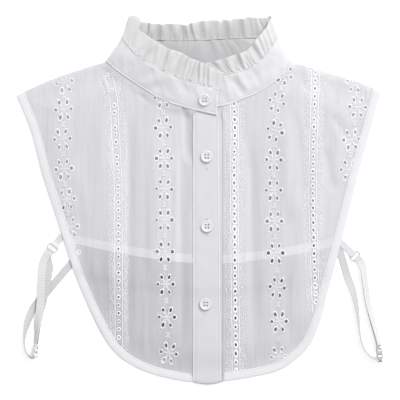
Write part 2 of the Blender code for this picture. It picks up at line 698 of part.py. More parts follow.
def button_mesh(plastic, cutters):
    """A four-hole button: a turned profile with a raised rim, pierced four times."""
    r = BUTTON_RADIUS
    h = BUTTON_THICK
    profile = [(0.0, 0.62 * h), (0.62 * r, 0.62 * h), (0.74 * r, 0.95 * h), (0.88 * r, h),
               (r, 0.72 * h), (0.97 * r, 0.25 * h), (0.8 * r, 0.0), (0.0, 0.0)]
    bm = bmesh.new()
    corners = [bm.verts.new((x * MM, 0, z * MM)) for x, z in profile]
    for a, b in zip(corners, corners[1:]):
        bm.edges.new((a, b))
    bmesh.ops.spin(bm, geom=bm.edges[:] + bm.verts[:], cent=(0, 0, 0), axis=(0, 0, 1),
                   angle=2 * math.pi, steps=BUTTON_STEPS, use_merge=True)
    bmesh.ops.remove_doubles(bm, verts=bm.verts[:], dist=1e-6)
    bmesh.ops.recalc_face_normals(bm, faces=bm.faces[:])
    blank = finish_mesh("button_blank", bm, plastic, cutters)
    for number, (sx, sy) in enumerate(((-1, -1), (1, -1), (1, 1), (-1, 1))):
        place = Vector((sx * BUTTON_HOLE_SPREAD, sy * BUTTON_HOLE_SPREAD, h / 2)) * MM
        cutter_bm = bmesh.new()
        bmesh.ops.create_cone(cutter_bm, cap_ends=True, segments=8, radius1=BUTTON_HOLE_RADIUS * MM,
                              radius2=BUTTON_HOLE_RADIUS * MM, depth=3 * h * MM,
                              matrix=Matrix.Translation(place))
        cutter = finish_mesh(f"button_cutter_{number}", cutter_bm, plastic, cutters)
        cutter.hide_render = True
        cutter.display_type = "WIRE"
        cut = blank.modifiers.new(f"hole_{number}", "BOOLEAN")
        cut.operation = "DIFFERENCE"
        cut.object = cutter
    view = bpy.context.evaluated_depsgraph_get()
    pierced = bpy.data.meshes.new_from_object(blank.evaluated_get(view))
    bpy.data.objects.remove(blank)
    return pierced


def make_buttons(plastic, pieces, cutters):
    """One button on the band's overlap and three on the placket."""
    pierced = button_mesh(plastic, cutters)
    spot = neck_point(BAND_BUTTON_ALONG, BAND_BUTTON_UP)
    out = neck_normal(BAND_BUTTON_ALONG, BAND_BUTTON_UP)
    button = bpy.data.objects.new("button_1", pierced)
    button.location = (spot + out * (BAND_THICK / 2 + SEAM_GAP)) * MM
    button.rotation_euler = out.to_track_quat("Z", "Y").to_euler()
    pieces.objects.link(button)
    for place in PLACKET_BUTTONS:
        button = bpy.data.objects.new(place.name, pierced)
        seat = placket_floor(place.x, place.y) + PLACKET_THICK + SEAM_GAP
        button.location = Vector((place.x, place.y, seat)) * MM
        pieces.objects.link(button)


def ribbon(strap, width, thickness, material, collection):
    """A flat band along a smooth route on the surface, rolled about it by each row's angle."""
    route = [(row.x, row.y, 0.0, row.roll, row.lift, row.across) for row in strap.rows]
    grid = [[], []]
    for place in walk(route, 6.0):
        x, y, _, roll, lift, across = catmull(route, place)
        ahead = Vector(catmull(route, min(place + 0.05, len(route) - 1))[:3])
        behind = Vector(catmull(route, max(place - 0.05, 0))[:3])
        along = (ahead - behind).normalized()
        turn = Matrix.Rotation(math.radians(roll), 3, along)
        side = turn @ Vector((-along.y, along.x, 0))
        out = turn @ Vector((0, 0, 1))
        height = lift + SEAM_GAP / 4 + thickness / 2 * abs(out.z) + width / 2 * abs(side.z)
        middle = Vector((x, y, height)) + side * across + out * strap.layer * (thickness + LAYER_GAP)
        grid[0].append(middle - side * width / 2)
        grid[1].append(middle + side * width / 2)
    return wall_from_grid(strap.name, grid, thickness, material, collection)


def make_straps(elastic, metal, collection):
    """Tabs, rings, elastic and sliders on both sides."""
    for strap in STRAPS:
        ribbon(strap, ELASTIC_WIDTH, ELASTIC_THICK, elastic, collection)
    for tab in TABS:
        start = Vector((tab.x_start, tab.y_start))
        end = Vector((tab.x_end, tab.y_end))
        along = (end - start).normalized()
        side = Vector((-along.y, along.x)) * TAB_WIDTH / 2
        strip(tab.name, [start - side, end - side], [start + side, end + side], back_floor,
              CLOTH, elastic, collection)
    for place in RINGS:
        make_ring(place, metal, collection)
    for place in SLIDERS:
        make_slider(place, metal, collection)


def place_fitting(piece, place):
    """Set a fitting where its row says."""
    turn = Matrix.Rotation(math.radians(place.turn), 4, "Z")
    roll = Matrix.Rotation(math.radians(place.roll), 4, "Y")
    piece.matrix_world = Matrix.Translation(Vector((place.x, place.y, place.z)) * MM) @ turn @ roll


def rounded_box(width, length, corner, steps=3):
    """Corner points of a rounded rectangle about the origin."""
    loop = []
    for number, (sx, sy) in enumerate(((1, 1), (-1, 1), (-1, -1), (1, -1))):
        centre = Vector((sx * (width / 2 - corner), sy * (length / 2 - corner)))
        for k in range(steps + 1):
            angle = math.radians(90 * (number + k / steps))
            loop.append(centre + Vector((math.cos(angle), math.sin(angle))) * corner)
    return loop


def add_spline(curve, loop):
    """A closed straight-sided spline through a loop of points."""
    spline = curve.splines.new("POLY")
    spline.points.add(len(loop) - 1)
    for point, place in zip(spline.points, loop):
        point.co = (place.x * MM, place.y * MM, 0, 1)
    spline.use_cyclic_u = True


def make_ring(place, metal, collection):
    """A wire loop that joins the tab to the elastic."""
    curve = bpy.data.curves.new(place.name, "CURVE")
    curve.dimensions = "3D"
    curve.bevel_depth = RING_WIRE * MM
    curve.bevel_resolution = 2
    add_spline(curve, rounded_box(place.width - 2 * RING_WIRE, place.length - 2 * RING_WIRE, 1.4))
    curve.materials.append(metal)
    piece = bpy.data.objects.new(place.name, curve)
    collection.objects.link(piece)
    place_fitting(piece, place)


def make_slider(place, metal, collection):
    """A flat frame with a bar across its middle, so that the elastic can be shortened."""
    curve = bpy.data.curves.new(place.name, "CURVE")
    curve.dimensions = "2D"
    curve.fill_mode = "BOTH"
    curve.extrude = SLIDER_THICK / 2 * MM
    rail = 1.3
    add_spline(curve, rounded_box(place.width, place.length, 1.6))
    slot_length = (place.length - 3 * rail) / 2
    for side in (-1, 1):
        middle = Vector((0, side * (rail + slot_length) / 2))
        slot = rounded_box(place.width - 2 * rail, slot_length, 0.5, steps=1)
        add_spline(curve, [p + middle for p in slot])
    curve.materials.append(metal)
    piece = bpy.data.objects.new(place.name, curve)
    collection.objects.link(piece)
    place_fitting(piece, place)


def main():
    pieces, cutters = start_clean()
    sheer = make_material("sheer_cotton", (0.86, 0.87, 0.89), 0.85)
    poplin = make_material("plain_poplin", (0.90, 0.91, 0.93), 0.75)
    plastic = make_material("button_plastic", (0.93, 0.93, 0.94), 0.35)
    elastic = make_material("elastic", (0.88, 0.89, 0.90), 0.8)
    metal = make_material("white_metal", (0.80, 0.81, 0.82), 0.35, 0.6)
    make_back(sheer, poplin, pieces)
    make_fronts(sheer, poplin, pieces)
    make_plackets(poplin, pieces)
    lengths = (("front_left", "overlap_end", "side_left_back"),
               ("back", "side_left_back", "side_right_back"),
               ("front_right", "side_right_back", "under_end"))
    for name, first, last in lengths:
        band_piece(f"band_{name}", NECK_PLACE[first], NECK_PLACE[last], poplin, pieces)
        frill_piece(f"ruffle_{name}", NECK_PLACE[first], NECK_PLACE[last], poplin, pieces)
    make_buttons(plastic, pieces, cutters)
    make_straps(elastic, metal, pieces)


main()
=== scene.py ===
"""Looks of a detachable collar: sheer embroidered cotton with a ruffled stand band.

The collar lies flat on its back on z = 0 with its front up (+Z) and its neck towards +Y. Left and
right are as seen from above. Sizes in the tables are millimetres; MM turns them into metres,
which the node trees take.
"""
import math
from collections import namedtuple

import bmesh
import bpy
import numpy as np
from mathutils import Matrix, Vector
from mathutils.geometry import delaunay_2d_cdt


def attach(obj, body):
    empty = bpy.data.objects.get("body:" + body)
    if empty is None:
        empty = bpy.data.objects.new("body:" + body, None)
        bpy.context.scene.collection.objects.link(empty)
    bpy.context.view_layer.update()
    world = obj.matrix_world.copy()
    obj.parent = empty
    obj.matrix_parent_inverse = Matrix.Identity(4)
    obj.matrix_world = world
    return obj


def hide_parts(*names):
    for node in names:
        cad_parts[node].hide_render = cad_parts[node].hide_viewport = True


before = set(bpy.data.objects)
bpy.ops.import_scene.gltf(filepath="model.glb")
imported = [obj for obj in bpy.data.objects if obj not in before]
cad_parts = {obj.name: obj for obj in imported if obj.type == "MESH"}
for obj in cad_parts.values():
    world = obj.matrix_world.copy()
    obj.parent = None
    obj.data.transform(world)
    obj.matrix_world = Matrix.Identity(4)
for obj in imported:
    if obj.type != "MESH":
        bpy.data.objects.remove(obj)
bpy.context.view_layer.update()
MM = 0.001

# Sizes of the sewn pieces, the same as in the model under them
CLOTH = 1.0
SEAM_GAP = 0.3
BINDING_WIDTH = 8.7
BINDING_THICK = 1.7
PLACKET_THICK = 1.4
BAND_THICK = 1.5
BACK_INSET = 2.0
PLACKET_LEFT = -5.6
PLACKET_RIGHT_TOP = 19.8
PLACKET_RIGHT_HEM = 22.4
PLACKET_HEM = -184.0
STAND_LEFT = -5.2
STAND_RIGHT = 24.2
STAND_HEM = -181.8
FIRM_FADE = 8.0
BUTTON_RADIUS = 6.0
BUTTON_THICK = 2.2
BUTTON_HOLE_RADIUS = 0.85
BUTTON_HOLE_SPREAD = 1.45
FRILL_START = -0.6
ELASTIC_WIDTH = 7.6
ELASTIC_THICK = 1.0
LAYER_GAP = 0.45
TAB_WIDTH = 7.0
RING_WIRE = 0.7
SLIDER_THICK = 1.2
HEM_MIDDLE_X = 12.0
HEM_LOWEST_Y = -63.4
HEM_RISE = 18.0
HEM_HALF_SPAN = 125.0
HEM_POWER = 1.6
CROWN = 2.6
CROWN_FADE = 26.0
RAMP_START = 22.0
RAMP_LENGTH = 14.0
BACK_CORNER_Y = -33.0
CORNER_DROP = 12.0

# Sizes that only the dressed collar has
SHEER_THICK = 0.4
FINE_STEP = 2.0
TUCK = 3.0
STAND_TUCK = 0.6
BINDING_CUT = 10.4
BAND_HEIGHT = 29.0
FRILL_HEIGHT = 20.0
SHOULDER_DROP = 0.9
PLACKET_RISE = 0.8

Point = namedtuple("Point", "x y")

LEFT_EDGE = [
    Point(-182.1, 104.6), Point(-167.8, 69.4), Point(-156.6, 26.6), Point(-145, -9.1),
    Point(-130.2, -55.3), Point(-118, -89), Point(-97.4, -132), Point(-82.7, -153.2),
    Point(-62.9, -167.2), Point(-41.2, -175.5), Point(-15.7, -180.9), Point(-5.9, -181.8),
]
RIGHT_EDGE = [
    Point(182.4, 108.6), Point(171.4, 68.6), Point(160.9, 31.1), Point(148.4, -18.9),
    Point(138.5, -57.4), Point(128.4, -94.1), Point(122.2, -119.6), Point(111.6, -144.1),
    Point(97.2, -159.3), Point(79.7, -170.4), Point(53.4, -176.8), Point(24.5, -181.4),
]
LEFT_SHOULDER = [
    Point(-182.1, 104.6), Point(-158.6, 116.2), Point(-138.6, 124.2), Point(-118.6, 131),
    Point(-94.6, 138.2),
]
RIGHT_SHOULDER = [
    Point(182.4, 108.6), Point(161.4, 118), Point(141.4, 124.2), Point(121.4, 130.2), Point(95, 138),
]

# One row for each place around the neck, from the end that lies on top to the end under it
NeckRow = namedtuple("NeckRow", "name bottom seam edge")
NECK = [
    NeckRow("overlap_end", (17.9, 85.4, 7.6), (19.3, 111.4, 12), (23.4, 127, 16.8)),
    NeckRow("front_left_1", (-6.8, 91, 7.2), (-2.9, 118, 13.4), (3.5, 136.8, 18.4)),
    NeckRow("front_left_2", (-27.2, 97, 6.8), (-22, 124.2, 13.8), (-14.5, 144.8, 19)),
    NeckRow("front_left_3", (-47.6, 107, 6.2), (-38.4, 131.8, 13.6), (-29.3, 151, 19)),
    NeckRow("front_left_4", (-73.1, 123.7, 5.6), (-60, 144.7, 13), (-47.2, 160.8, 17.8)),
    NeckRow("side_left_front", (-86.6, 133.6, 4.9), (-71.2, 157.2, 11.8), (-62, 172.6, 14.4)),
    NeckRow("fold_left", (-92, 138.8, 3), (-75.4, 163.4, 6.8), (-69.2, 182.6, 7.6)),
    NeckRow("side_left_back", (-86, 137.6, 1), (-69.6, 163.2, 1.3), (-62.4, 179.4, 3.8)),
    NeckRow("back_left", (-60, 131.6, 1), (-36, 160.2, 1), (-35, 176.6, 3.6)),
    NeckRow("back_middle", (0, 128.6, 1), (0, 160.4, 1), (0, 177, 3.6)),
    NeckRow("back_right", (60, 131.6, 1), (36, 162.2, 1), (38, 180.4, 3.6)),
    NeckRow("side_right_back", (86.6, 137, 1), (71.4, 163, 1.3), (64, 180.6, 3.8)),
    NeckRow("fold_right", (92.4, 138, 3), (78.4, 162.8, 6.8), (71, 182.6, 7.6)),
    NeckRow("side_right_front", (88.4, 131.8, 4.9), (74, 155, 10.8), (66.6, 171.4, 13.6)),
    NeckRow("front_right_4", (81, 123.6, 5.2), (66.6, 145.6, 11.6), (58.6, 161.2, 16.4)),
    NeckRow("front_right_3", (67, 112.2, 5.4), (56, 135.8, 11.4), (47, 148.8, 16.2)),
    NeckRow("front_right_2", (45.3, 101.4, 5.4), (41.1, 129.4, 10.8), (29, 142.6, 14.6)),
    NeckRow("front_right_1", (21.2, 93.8, 5.2), (24.2, 126.6, 9.2), (8.6, 136.6, 11.8)),
    NeckRow("under_end", (-2, 92.6, 5), (2, 122.6, 8.2), (-9, 133, 9.6)),
]
NECK_PLACE = {row.name: index for index, row in enumerate(NECK)}
NECK_ROWS = np.array([row.bottom + row.seam + row.edge for row in NECK])

# Soft ridges that the model under the cloth has too
Ridge = namedtuple("Ridge", "x_top y_top x_hem y_hem half_width height")
RIDGES = [
    Ridge(-104, 118, -84, -128, 9, 1.6),
    Ridge(-88, 60, -80, -110, 8, 1.5),
    Ridge(-44, 88, -36, -160, 11, 2.6),
    Ridge(-22, 60, -24, -150, 5, 1.2),
    Ridge(32.4, 84, 34, -168, 8, 1.7),
    Ridge(83, 92, 96, -25, 9, 2.3),
    Ridge(100, -40, 96, -132, 8, 1.8),
    Ridge(116, 96, 118, -60, 7, 1.4),
    Ridge(142, 98, 138, 10, 9, 1.7),
    Ridge(-150, 90, -134, -20, 9, 1.3),
]

# Creases of the fronts, each along a slightly bowed line, with a width to its left and its right
Crease = namedtuple("Crease", "x_top y_top x_hem y_hem bow left right height")
CREASES = [
    Crease(-70.4, 96, -71.6, -160, 0, 1.8, 6.6, -3.5),
    Crease(-17.6, 80, -18.4, -168, 0.6, 2.6, 4.4, -1.6),
    Crease(50.5, 82, 54.5, -160, 1.6, 5.5, 7, -3.5),
    Crease(126, 54, 133, 6, 1, 3.6, 5, -1.4),
    Crease(134, 88, 155, 54, -1.5, 5, 6, -1.5),
    Crease(-58.6, 100.4, -49, 109, 0, 4, 5, -1.2),
    Crease(-102, 131, -96, 112, 0.6, 1.6, 2.2, -1),
    Crease(-95, 122, -88.4, 104, 0.4, 1.8, 1.6, 0.8),
    Crease(104, 130, 108, 108, -0.6, 2, 1.6, -0.9),
    Crease(-128, 30, -112, -60, 2, 7, 7, -0.8),
    Crease(-118, -20, -98, -108, 2, 6, 6, 0.9),
    Crease(104, 40, 110, -90, 1.5, 3.6, 5, -1.1),
    Crease(150, 40, 128, -50, 1, 5, 5, 0.8),
    Crease(46, 60, 47.6, -170, 0, 2, 3, 0.5),
    Crease(-50, 20, -48, -90, 0.8, 2.2, 3.4, 0.5),
    Crease(-26, 40, -27, -60, 0.6, 2, 2.4, -0.4),
    Crease(90, -66, 88, -140, -0.8, 2.6, 3.4, -0.7),
    Crease(96, 100, 108, 44, 1.4, 3, 3.4, 0.7),
]

# The deep fold beside the top of the placket
SLIT = Crease(-16.0, 106.0, -12.0, 34.0, 1.0, 2.4, 4.6, -3.8)
# Creases of the stand band, in the same way
BAND_CREASES = [
    Crease(30.4, 124, 46, 102, 0.6, 2.2, 3.2, -1.5),
    Crease(36.6, 130, 52, 107, -0.6, 2.4, 3.4, 1.1),
    Crease(51, 134, 63, 112, 0.4, 2.6, 3, -0.8),
    Crease(24, 128, 33, 96, 0.4, 2, 2.4, 0.9),
    Crease(-70, 158, -62, 137, 0.8, 2.4, 4, -0.9),
    Crease(-48.6, 142, -39, 116, 0.6, 3, 4.6, 0.7),
    Crease(-23.6, 128, -13, 104, 0.6, 2.8, 3.4, -0.7),
    Crease(-8.6, 120, 5.4, 98, -0.5, 2.6, 3, 0.6),
]

# Uneven waves: their height in millimetres, the width and length of their hills, and their seed
Waves = namedtuple("Waves", "height wide long seed")

# Embroidered columns: flowers of six petal eyelets, and small round eyelets between raised rails
Flower = namedtuple("Flower", "x y tilt")
FlowerColumn = namedtuple("FlowerColumn", "name side width flowers")
FLOWERS = [
    FlowerColumn("outer_left", "left", 1, [
        Flower(-134.4, 117.7, 0.19), Flower(-134.9, 90.6, 0.07), Flower(-136.2, 61.1, 0.08),
        Flower(-134.8, 31.1, 0.09), Flower(-132.2, 0.8, 0.12), Flower(-129, -27, 0.1),
        Flower(-127.6, -53, 0.1)]),
    FlowerColumn("inner_left", "left", 0.97, [
        Flower(-36.2, 102.7, 0.1), Flower(-35.4, 72.4, 0.07), Flower(-34.6, 41.8, 0),
        Flower(-34.5, 11.1, -0.04), Flower(-34.3, -19.8, 0), Flower(-33.8, -51.3, -0.01),
        Flower(-33.1, -83.9, 0), Flower(-31.8, -116.8, -0.02), Flower(-30, -152.7, -0.16)]),
    FlowerColumn("inner_right", "right", 0.92, [
        Flower(85.5, 125.6, -0.4), Flower(78, 98.1, -0.28), Flower(76.2, 69.2, -0.3),
        Flower(75, 40.3, -0.04), Flower(74.8, 9.9, 0), Flower(75.6, -21.1, 0),
        Flower(76.8, -52.8, 0), Flower(78.5, -87, -0.12), Flower(80.2, -121.2, 0.02),
        Flower(79.8, -156.8, 0.06)]),
    FlowerColumn("outer_right", "right", 1, [
        Flower(156.4, 117.9, -0.1), Flower(158.6, 92.9, -0.05), Flower(152.7, 60.4, 0.05),
        Flower(150.2, 30.4, 0)]),
]
Petal = namedtuple("Petal", "x y half_width half_length")
PETALS = [
    Petal(-7.8, 0.2, 1.55, 1.7), Petal(7.8, 0.2, 1.55, 1.7),
    Petal(-3.9, 7.3, 1.28, 2.1), Petal(3.9, 7.3, 1.22, 2.15),
    Petal(-3.8, -7.7, 1.32, 2.2), Petal(3.9, -7.7, 1.22, 2.1),
]
# How far a petal leans outwards, for each square millimetre of its place from the flower's middle
PETAL_SLANT = 0.011
# Size of an eyelet's ring of stitches against its hole, and the thread's share of the ring
RING_SIZE = 1.34
RING_SHARE = 0.26
DOT_RING_SIZE = 1.72
DOT_RING_SHARE = 0.42
# Height of these rings for the node trees, in metres
RING_HEIGHT = 0.0022
DOT_RING_HEIGHT = 0.0013
# Some of a column's eyelets with their count from its top; the others lie evenly between them
Counted = namedtuple("Counted", "number y")
DottedColumn = namedtuple("DottedColumn", "name side hole tall counted line")
DOTTED = [
    DottedColumn("middle_left", "left", 0.86, 1.02, [
        Counted(-2, 125.6), Counted(0, 94.9), Counted(9, 28.9), Counted(20, -56.1),
        Counted(31, -145.1)], [
        Point(-91.1, 125.4), Point(-87.6, 115.4), Point(-84.6, 95.4), Point(-83.1, 65.9),
        Point(-82, 48.4), Point(-80.4, 12.4), Point(-80, -60), Point(-79.8, -150)]),
    DottedColumn("centre_right", "right", 1, 1.6, [
        Counted(0, 96.5), Counted(8, 32.6), Counted(16, -28.8), Counted(24, -90.9),
        Counted(33, -171)], [
        Point(35.2, 97), Point(36.1, 76), Point(36.2, 63), Point(35.5, 47),
        Point(35.4, 24), Point(36, -50), Point(37.4, -176)]),
    DottedColumn("middle_right", "right", 0.88, 1.34, [
        Counted(0, 127.5), Counted(5, 87.9), Counted(22, -37.1), Counted(31, -109.6)], [
        Point(116.9, 130), Point(115.2, 80), Point(113.9, 13.4), Point(115.2, -50),
        Point(117.6, -112)]),
]
# Spread of the hand's work: in size, in length and in turn
SIZE_SPREAD = 0.14
LENGTH_SPREAD = 0.08
TURN_SPREAD = 0.1
DOT_TURN_SPREAD = 0.2
# Distance that a hole, a ring and a leaf keep from the cut line
HOLE_MARGIN = 0.8
RING_MARGIN = 2.2
LEAF_MARGIN = 2.0
HOLE_SIDES = 12
RAIL_OFFSET = 3.8
STRIP_INNER = 5.0
STRIP_OUTER = 9.4
STRIP_WOBBLE = Waves(0.9, 9.0, 1.0, 20)
RAIL_WOBBLE = Waves(0.16, 7.0, 1.0, 30)
# Half width and half length of a flower's ribs, of the tips beyond its petals, of its heart and of
# the leaves between two flowers
Leaf = namedtuple("Leaf", "half_width half_length")
RIB = Leaf(1.3, 2.4)
TIP = Leaf(0.42, 1.2)
HEART = Leaf(1.8, 2.4)
DIAMOND = Leaf(1.15, 2.0)
DIAMOND_X = 0.9
DIAMOND_Y = 1.5

ButtonPlace = namedtuple("ButtonPlace", "name x y")
PLACKET_BUTTONS = [
    ButtonPlace("button_2", 8.1, 43.9),
    ButtonPlace("button_3", 8.4, -25.9),
    ButtonPlace("button_4", 6.9, -103.5),
]
BUTTONHOLE_SHIFT = (-3.0, 0.6, -1.0)
BUTTONHOLE_HALF_WIDTH = 1.0
BUTTONHOLE_HALF_LENGTH = 8.4
# In metres, as a node tree takes it
BUTTONHOLE_HEIGHT = 0.002
BAND_BUTTON_ALONG = 0.58
BAND_BUTTON_UP = 0.46

# Each run of elastic: where its middle goes, its roll in degrees, its lift and its sideways shift
Run = namedtuple("Run", "x y roll lift across", defaults=(0, 0, 0))
Strap = namedtuple("Strap", "name layer rows")
DOUBLED_LEFT = [
    Run(-150.2, -51.4), Run(-153.9, -58), Run(-155.8, -65, 0, 0.5), Run(-156.8, -78, 0, 1.5),
    Run(-157.7, -98, 0, 1.5), Run(-159, -112, 8, 1.5), Run(-160.2, -122, 30, 0.4),
    Run(-160.8, -133, 56), Run(-161.8, -143.2, 64),
]
SPREAD_LEFT = (0, 4.4, 7.0, 6.0, 3.0, 0.6, 0, 0, 0)
DOUBLED_RIGHT = [
    Run(159.9, -58.9), Run(162.2, -62.2, -8), Run(163.8, -68, -26), Run(165.4, -80.6, -38),
    Run(168.4, -101.6, -42), Run(173.4, -121.6, -50), Run(178, -139, -58), Run(179.2, -145.6, -60),
]
SPREAD_RIGHT = (0, 0.3, 0.8, 0.9, 0.9, 0.5, 0, 0)
STRAPS = [
    Strap("strap_over_left", 1, DOUBLED_LEFT),
    Strap("strap_under_left", 0, [row._replace(across=spread)
                                  for row, spread in zip(DOUBLED_LEFT, SPREAD_LEFT)]),
    Strap("strap_return_left", 0, [
        Run(-163.8, -156.9, 72), Run(-168.6, -156.8, 82), Run(-172.6, -150.4, 85),
        Run(-174, -141.6, 82), Run(-173, -131.6, 66), Run(-170.2, -120, 30),
        Run(-165, -107), Run(-155, -95.6), Run(-146, -85),
        Run(-136.6, -73.8), Run(-129.1, -65.1), Run(-125.2, -60.5),
    ]),
    Strap("strap_over_right", 1, DOUBLED_RIGHT),
    Strap("strap_under_right", 0, [row._replace(across=spread)
                                   for row, spread in zip(DOUBLED_RIGHT, SPREAD_RIGHT)]),
    Strap("strap_return_right", 0, [
        Run(139.4, -46.6), Run(142.8, -55.6), Run(145.8, -66), Run(149, -76.4, -6),
        Run(154.6, -91, -34), Run(158.8, -111.6, -62), Run(161, -131.6, -76),
        Run(164.4, -145.6, -80), Run(170.4, -154.4, -80), Run(176.4, -158, -76),
        Run(180.8, -159.8, -70),
    ]),
]
Fitting = namedtuple("Fitting", "name x y z turn roll width length")
RINGS = [
    Fitting("ring_left", -146, -47.3, 1.1, -38, 0, 11.6, 7.2),
    Fitting("ring_right", 156.4, -55.6, 1.1, 46, 0, 11.6, 7.2),
]
SLIDERS = [
    Fitting("slider_left", -163, -149.9, 5.2, -8, 64, 10.4, 11.6),
    Fitting("slider_right", 180.6, -152.6, 5, 8, -60, 10.4, 11.6),
]
Tab = namedtuple("Tab", "name x_start y_start x_end y_end")
TABS = [
    Tab("tab_left", -138.2, -37.4, -143.6, -44.2),
    Tab("tab_right", 142.6, -42.6, 153.6, -52.9),
]


# Curves and distances

FINE_PARTS = 24
FAR_AWAY = 1e9
NO_LENGTH = 1e-9


def smooth(value):
    value = np.clip(value, 0.0, 1.0)
    return value * value * (3 - 2 * value)


def on_curve(rows, places):
    """Points at fractional row numbers on the smooth curve through a table's rows."""
    rows = np.asarray(rows, float)
    places = np.asarray(places, float)
    last = len(rows) - 1
    index = np.clip(np.floor(places).astype(int), 0, last - 1)
    t = (places - index)[..., None]
    before = rows[np.maximum(index - 1, 0)]
    start = rows[index]
    end = rows[index + 1]
    after = rows[np.minimum(index + 2, last)]
    return 0.5 * (2 * start + (end - before) * t + (2 * before - 5 * start + 4 * end - after) * t ** 2
                  + (3 * start - before - 3 * end + after) * t ** 3)


def walked(line):
    """Distance along a line at each of its points."""
    return np.concatenate([[0], np.cumsum(np.linalg.norm(np.diff(line, axis=0), axis=1))])


def unit(rows):
    """Rows of vectors, each made one long."""
    return rows / np.linalg.norm(rows, axis=1)[:, None]


def even_places(rows, step):
    """Row numbers that divide the smooth curve into even lengths, and those lengths."""
    rows = np.asarray(rows, float)
    fine = np.linspace(0, len(rows) - 1, (len(rows) - 1) * FINE_PARTS + 1)
    lengths = walked(on_curve(rows, fine))
    count = max(2, round(lengths[-1] / step))
    wanted = np.linspace(0, lengths[-1], count + 1)
    return np.interp(wanted, lengths, fine), wanted


def smooth_line(rows, step):
    places, _ = even_places(rows, step)
    return on_curve(rows, places)


def shifted(line, distance):
    """A flat line moved sideways, to its left as it is walked."""
    along = unit(np.gradient(line, axis=0))
    return line + np.stack([-along[:, 1], along[:, 0]], axis=1) * distance


def distance_to_line(x, y, line):
    """Distance from each point to a line of straight pieces."""
    nearest = np.full(np.shape(x), FAR_AWAY)
    for (ax, ay), (bx, by) in zip(line[:-1], line[1:]):
        span = max((bx - ax) ** 2 + (by - ay) ** 2, NO_LENGTH)
        t = np.clip(((x - ax) * (bx - ax) + (y - ay) * (by - ay)) / span, 0, 1)
        nearest = np.minimum(nearest, np.hypot(x - ax - t * (bx - ax), y - ay - t * (by - ay)))
    return nearest


def distance_to_rim(x, y, outline):
    """Distance from each point to a closed outline."""
    return distance_to_line(x, y, np.vstack([outline, outline[:1]]))


def inside(points, polygon):
    """Which points lie inside a closed polygon."""
    x, y = points[:, 0], points[:, 1]
    found = np.zeros(len(points), bool)
    for (ax, ay), (bx, by) in zip(polygon, np.roll(polygon, -1, axis=0)):
        if ay == by:
            continue
        found ^= ((ay > y) != (by > y)) & (x < (bx - ax) * (y - ay) / (by - ay) + ax)
    return found


LATTICE = 256


def lattice_noise(x, y, cell_x, cell_y, seed):
    """Smooth uneven waves between -1 and 1, with hills about one cell wide and long."""
    table = np.random.default_rng(seed).uniform(-1, 1, (LATTICE, LATTICE))
    u = x / cell_x + LATTICE / 2
    v = y / cell_y + LATTICE / 2
    i = np.floor(u).astype(int)
    j = np.floor(v).astype(int)
    a = smooth(u - i)
    b = smooth(v - j)
    i0, i1, j0, j1 = i % LATTICE, (i + 1) % LATTICE, j % LATTICE, (j + 1) % LATTICE
    low = table[i0, j0] * (1 - a) + table[i1, j0] * a
    high = table[i0, j1] * (1 - a) + table[i1, j1] * a
    return low * (1 - b) + high * b


def waves(x, y, layers, turn=0):
    """Height of some layers of uneven waves; another turn draws them anew."""
    return sum(layer.height * lattice_noise(x, y, layer.wide, layer.long, layer.seed + turn)
               for layer in layers)


# Heights of the cloth above the surface

# How steeply a ridge and a crease rise at their ends, against their length
RIDGE_ENDS = 5
CREASE_ENDS = 4
CRINKLE = [Waves(0.26, 6.0, 46.0, 3), Waves(0.12, 3.4, 26.0, 4)]
# Share of the crinkle that is left at the rim, and the width over which it grows
RIM_CRINKLE = 0.25
RIM_FADE = 12.0
# The cloth's cover over the neck seam, its highest rise there and how far from the seam it rises
NECK_COVER = 0.1
NECK_RISE = 4.0
NECK_REACH = 9.0
NECK_SAMPLES = 120
# Where the cloth swells beside the placket, and the deep fold that breaks the swell
SWELL_START = 0.8
SWELL_LENGTH = 6.0
SLIT_LOW = 30.0
SLIT_HIGH = 88.0
SHOULDER_FADE = 6.0


def hem_of_back(x):
    return HEM_LOWEST_Y + HEM_RISE * (np.abs(x - HEM_MIDDLE_X) / HEM_HALF_SPAN) ** HEM_POWER


FRONT_RIM = LEFT_SHOULDER[:0:-1] + LEFT_EDGE + RIGHT_EDGE[:0:-1] + RIGHT_SHOULDER


def front_floor(x, y):
    """Underside of the front in the model: rest, crown and soft ridges."""
    past_hem = smooth((hem_of_back(x) - RAMP_START - y) / RAMP_LENGTH)
    crown = CROWN * smooth((distance_to_line(x, y, FRONT_RIM) - BINDING_WIDTH) / CROWN_FADE)
    lift = np.zeros(np.shape(x))
    for ridge in RIDGES:
        part = (ridge.y_top - y) / (ridge.y_top - ridge.y_hem)
        middle = ridge.x_top + (ridge.x_hem - ridge.x_top) * part
        ends = smooth(part * RIDGE_ENDS) * smooth((1 - part) * RIDGE_ENDS)
        lift += ridge.height * ends * np.exp(-((x - middle) / ridge.half_width) ** 2)
    return (CLOTH + SEAM_GAP) * (1 - past_hem) + crown + lift * beside_placket(x)


def beside_placket(x):
    """0 on the firm placket, 1 on the soft cloth beside it."""
    middle = (STAND_LEFT + STAND_RIGHT) / 2
    half = (STAND_RIGHT - STAND_LEFT) / 2
    return smooth((np.abs(x - middle) - half) / FIRM_FADE)


def crease_lift(x, y, rows):
    """Height of the creases of a table at flat points."""
    lift = np.zeros(np.shape(x))
    for crease in rows:
        start = np.array([crease.x_top, crease.y_top])
        way = np.array([crease.x_hem, crease.y_hem]) - start
        length = np.hypot(*way)
        along_x, along_y = way / length
        part = ((x - start[0]) * along_x + (y - start[1]) * along_y) / length
        off = (x - start[0]) * along_y - (y - start[1]) * along_x
        off = -off - crease.bow * 4 * part * (1 - part)
        width = np.where(off < 0, crease.left, crease.right)
        ends = smooth(part * CREASE_ENDS) * smooth((1 - part) * CREASE_ENDS)
        lift += crease.height * ends * np.exp(-(off / width) ** 2)
    return lift


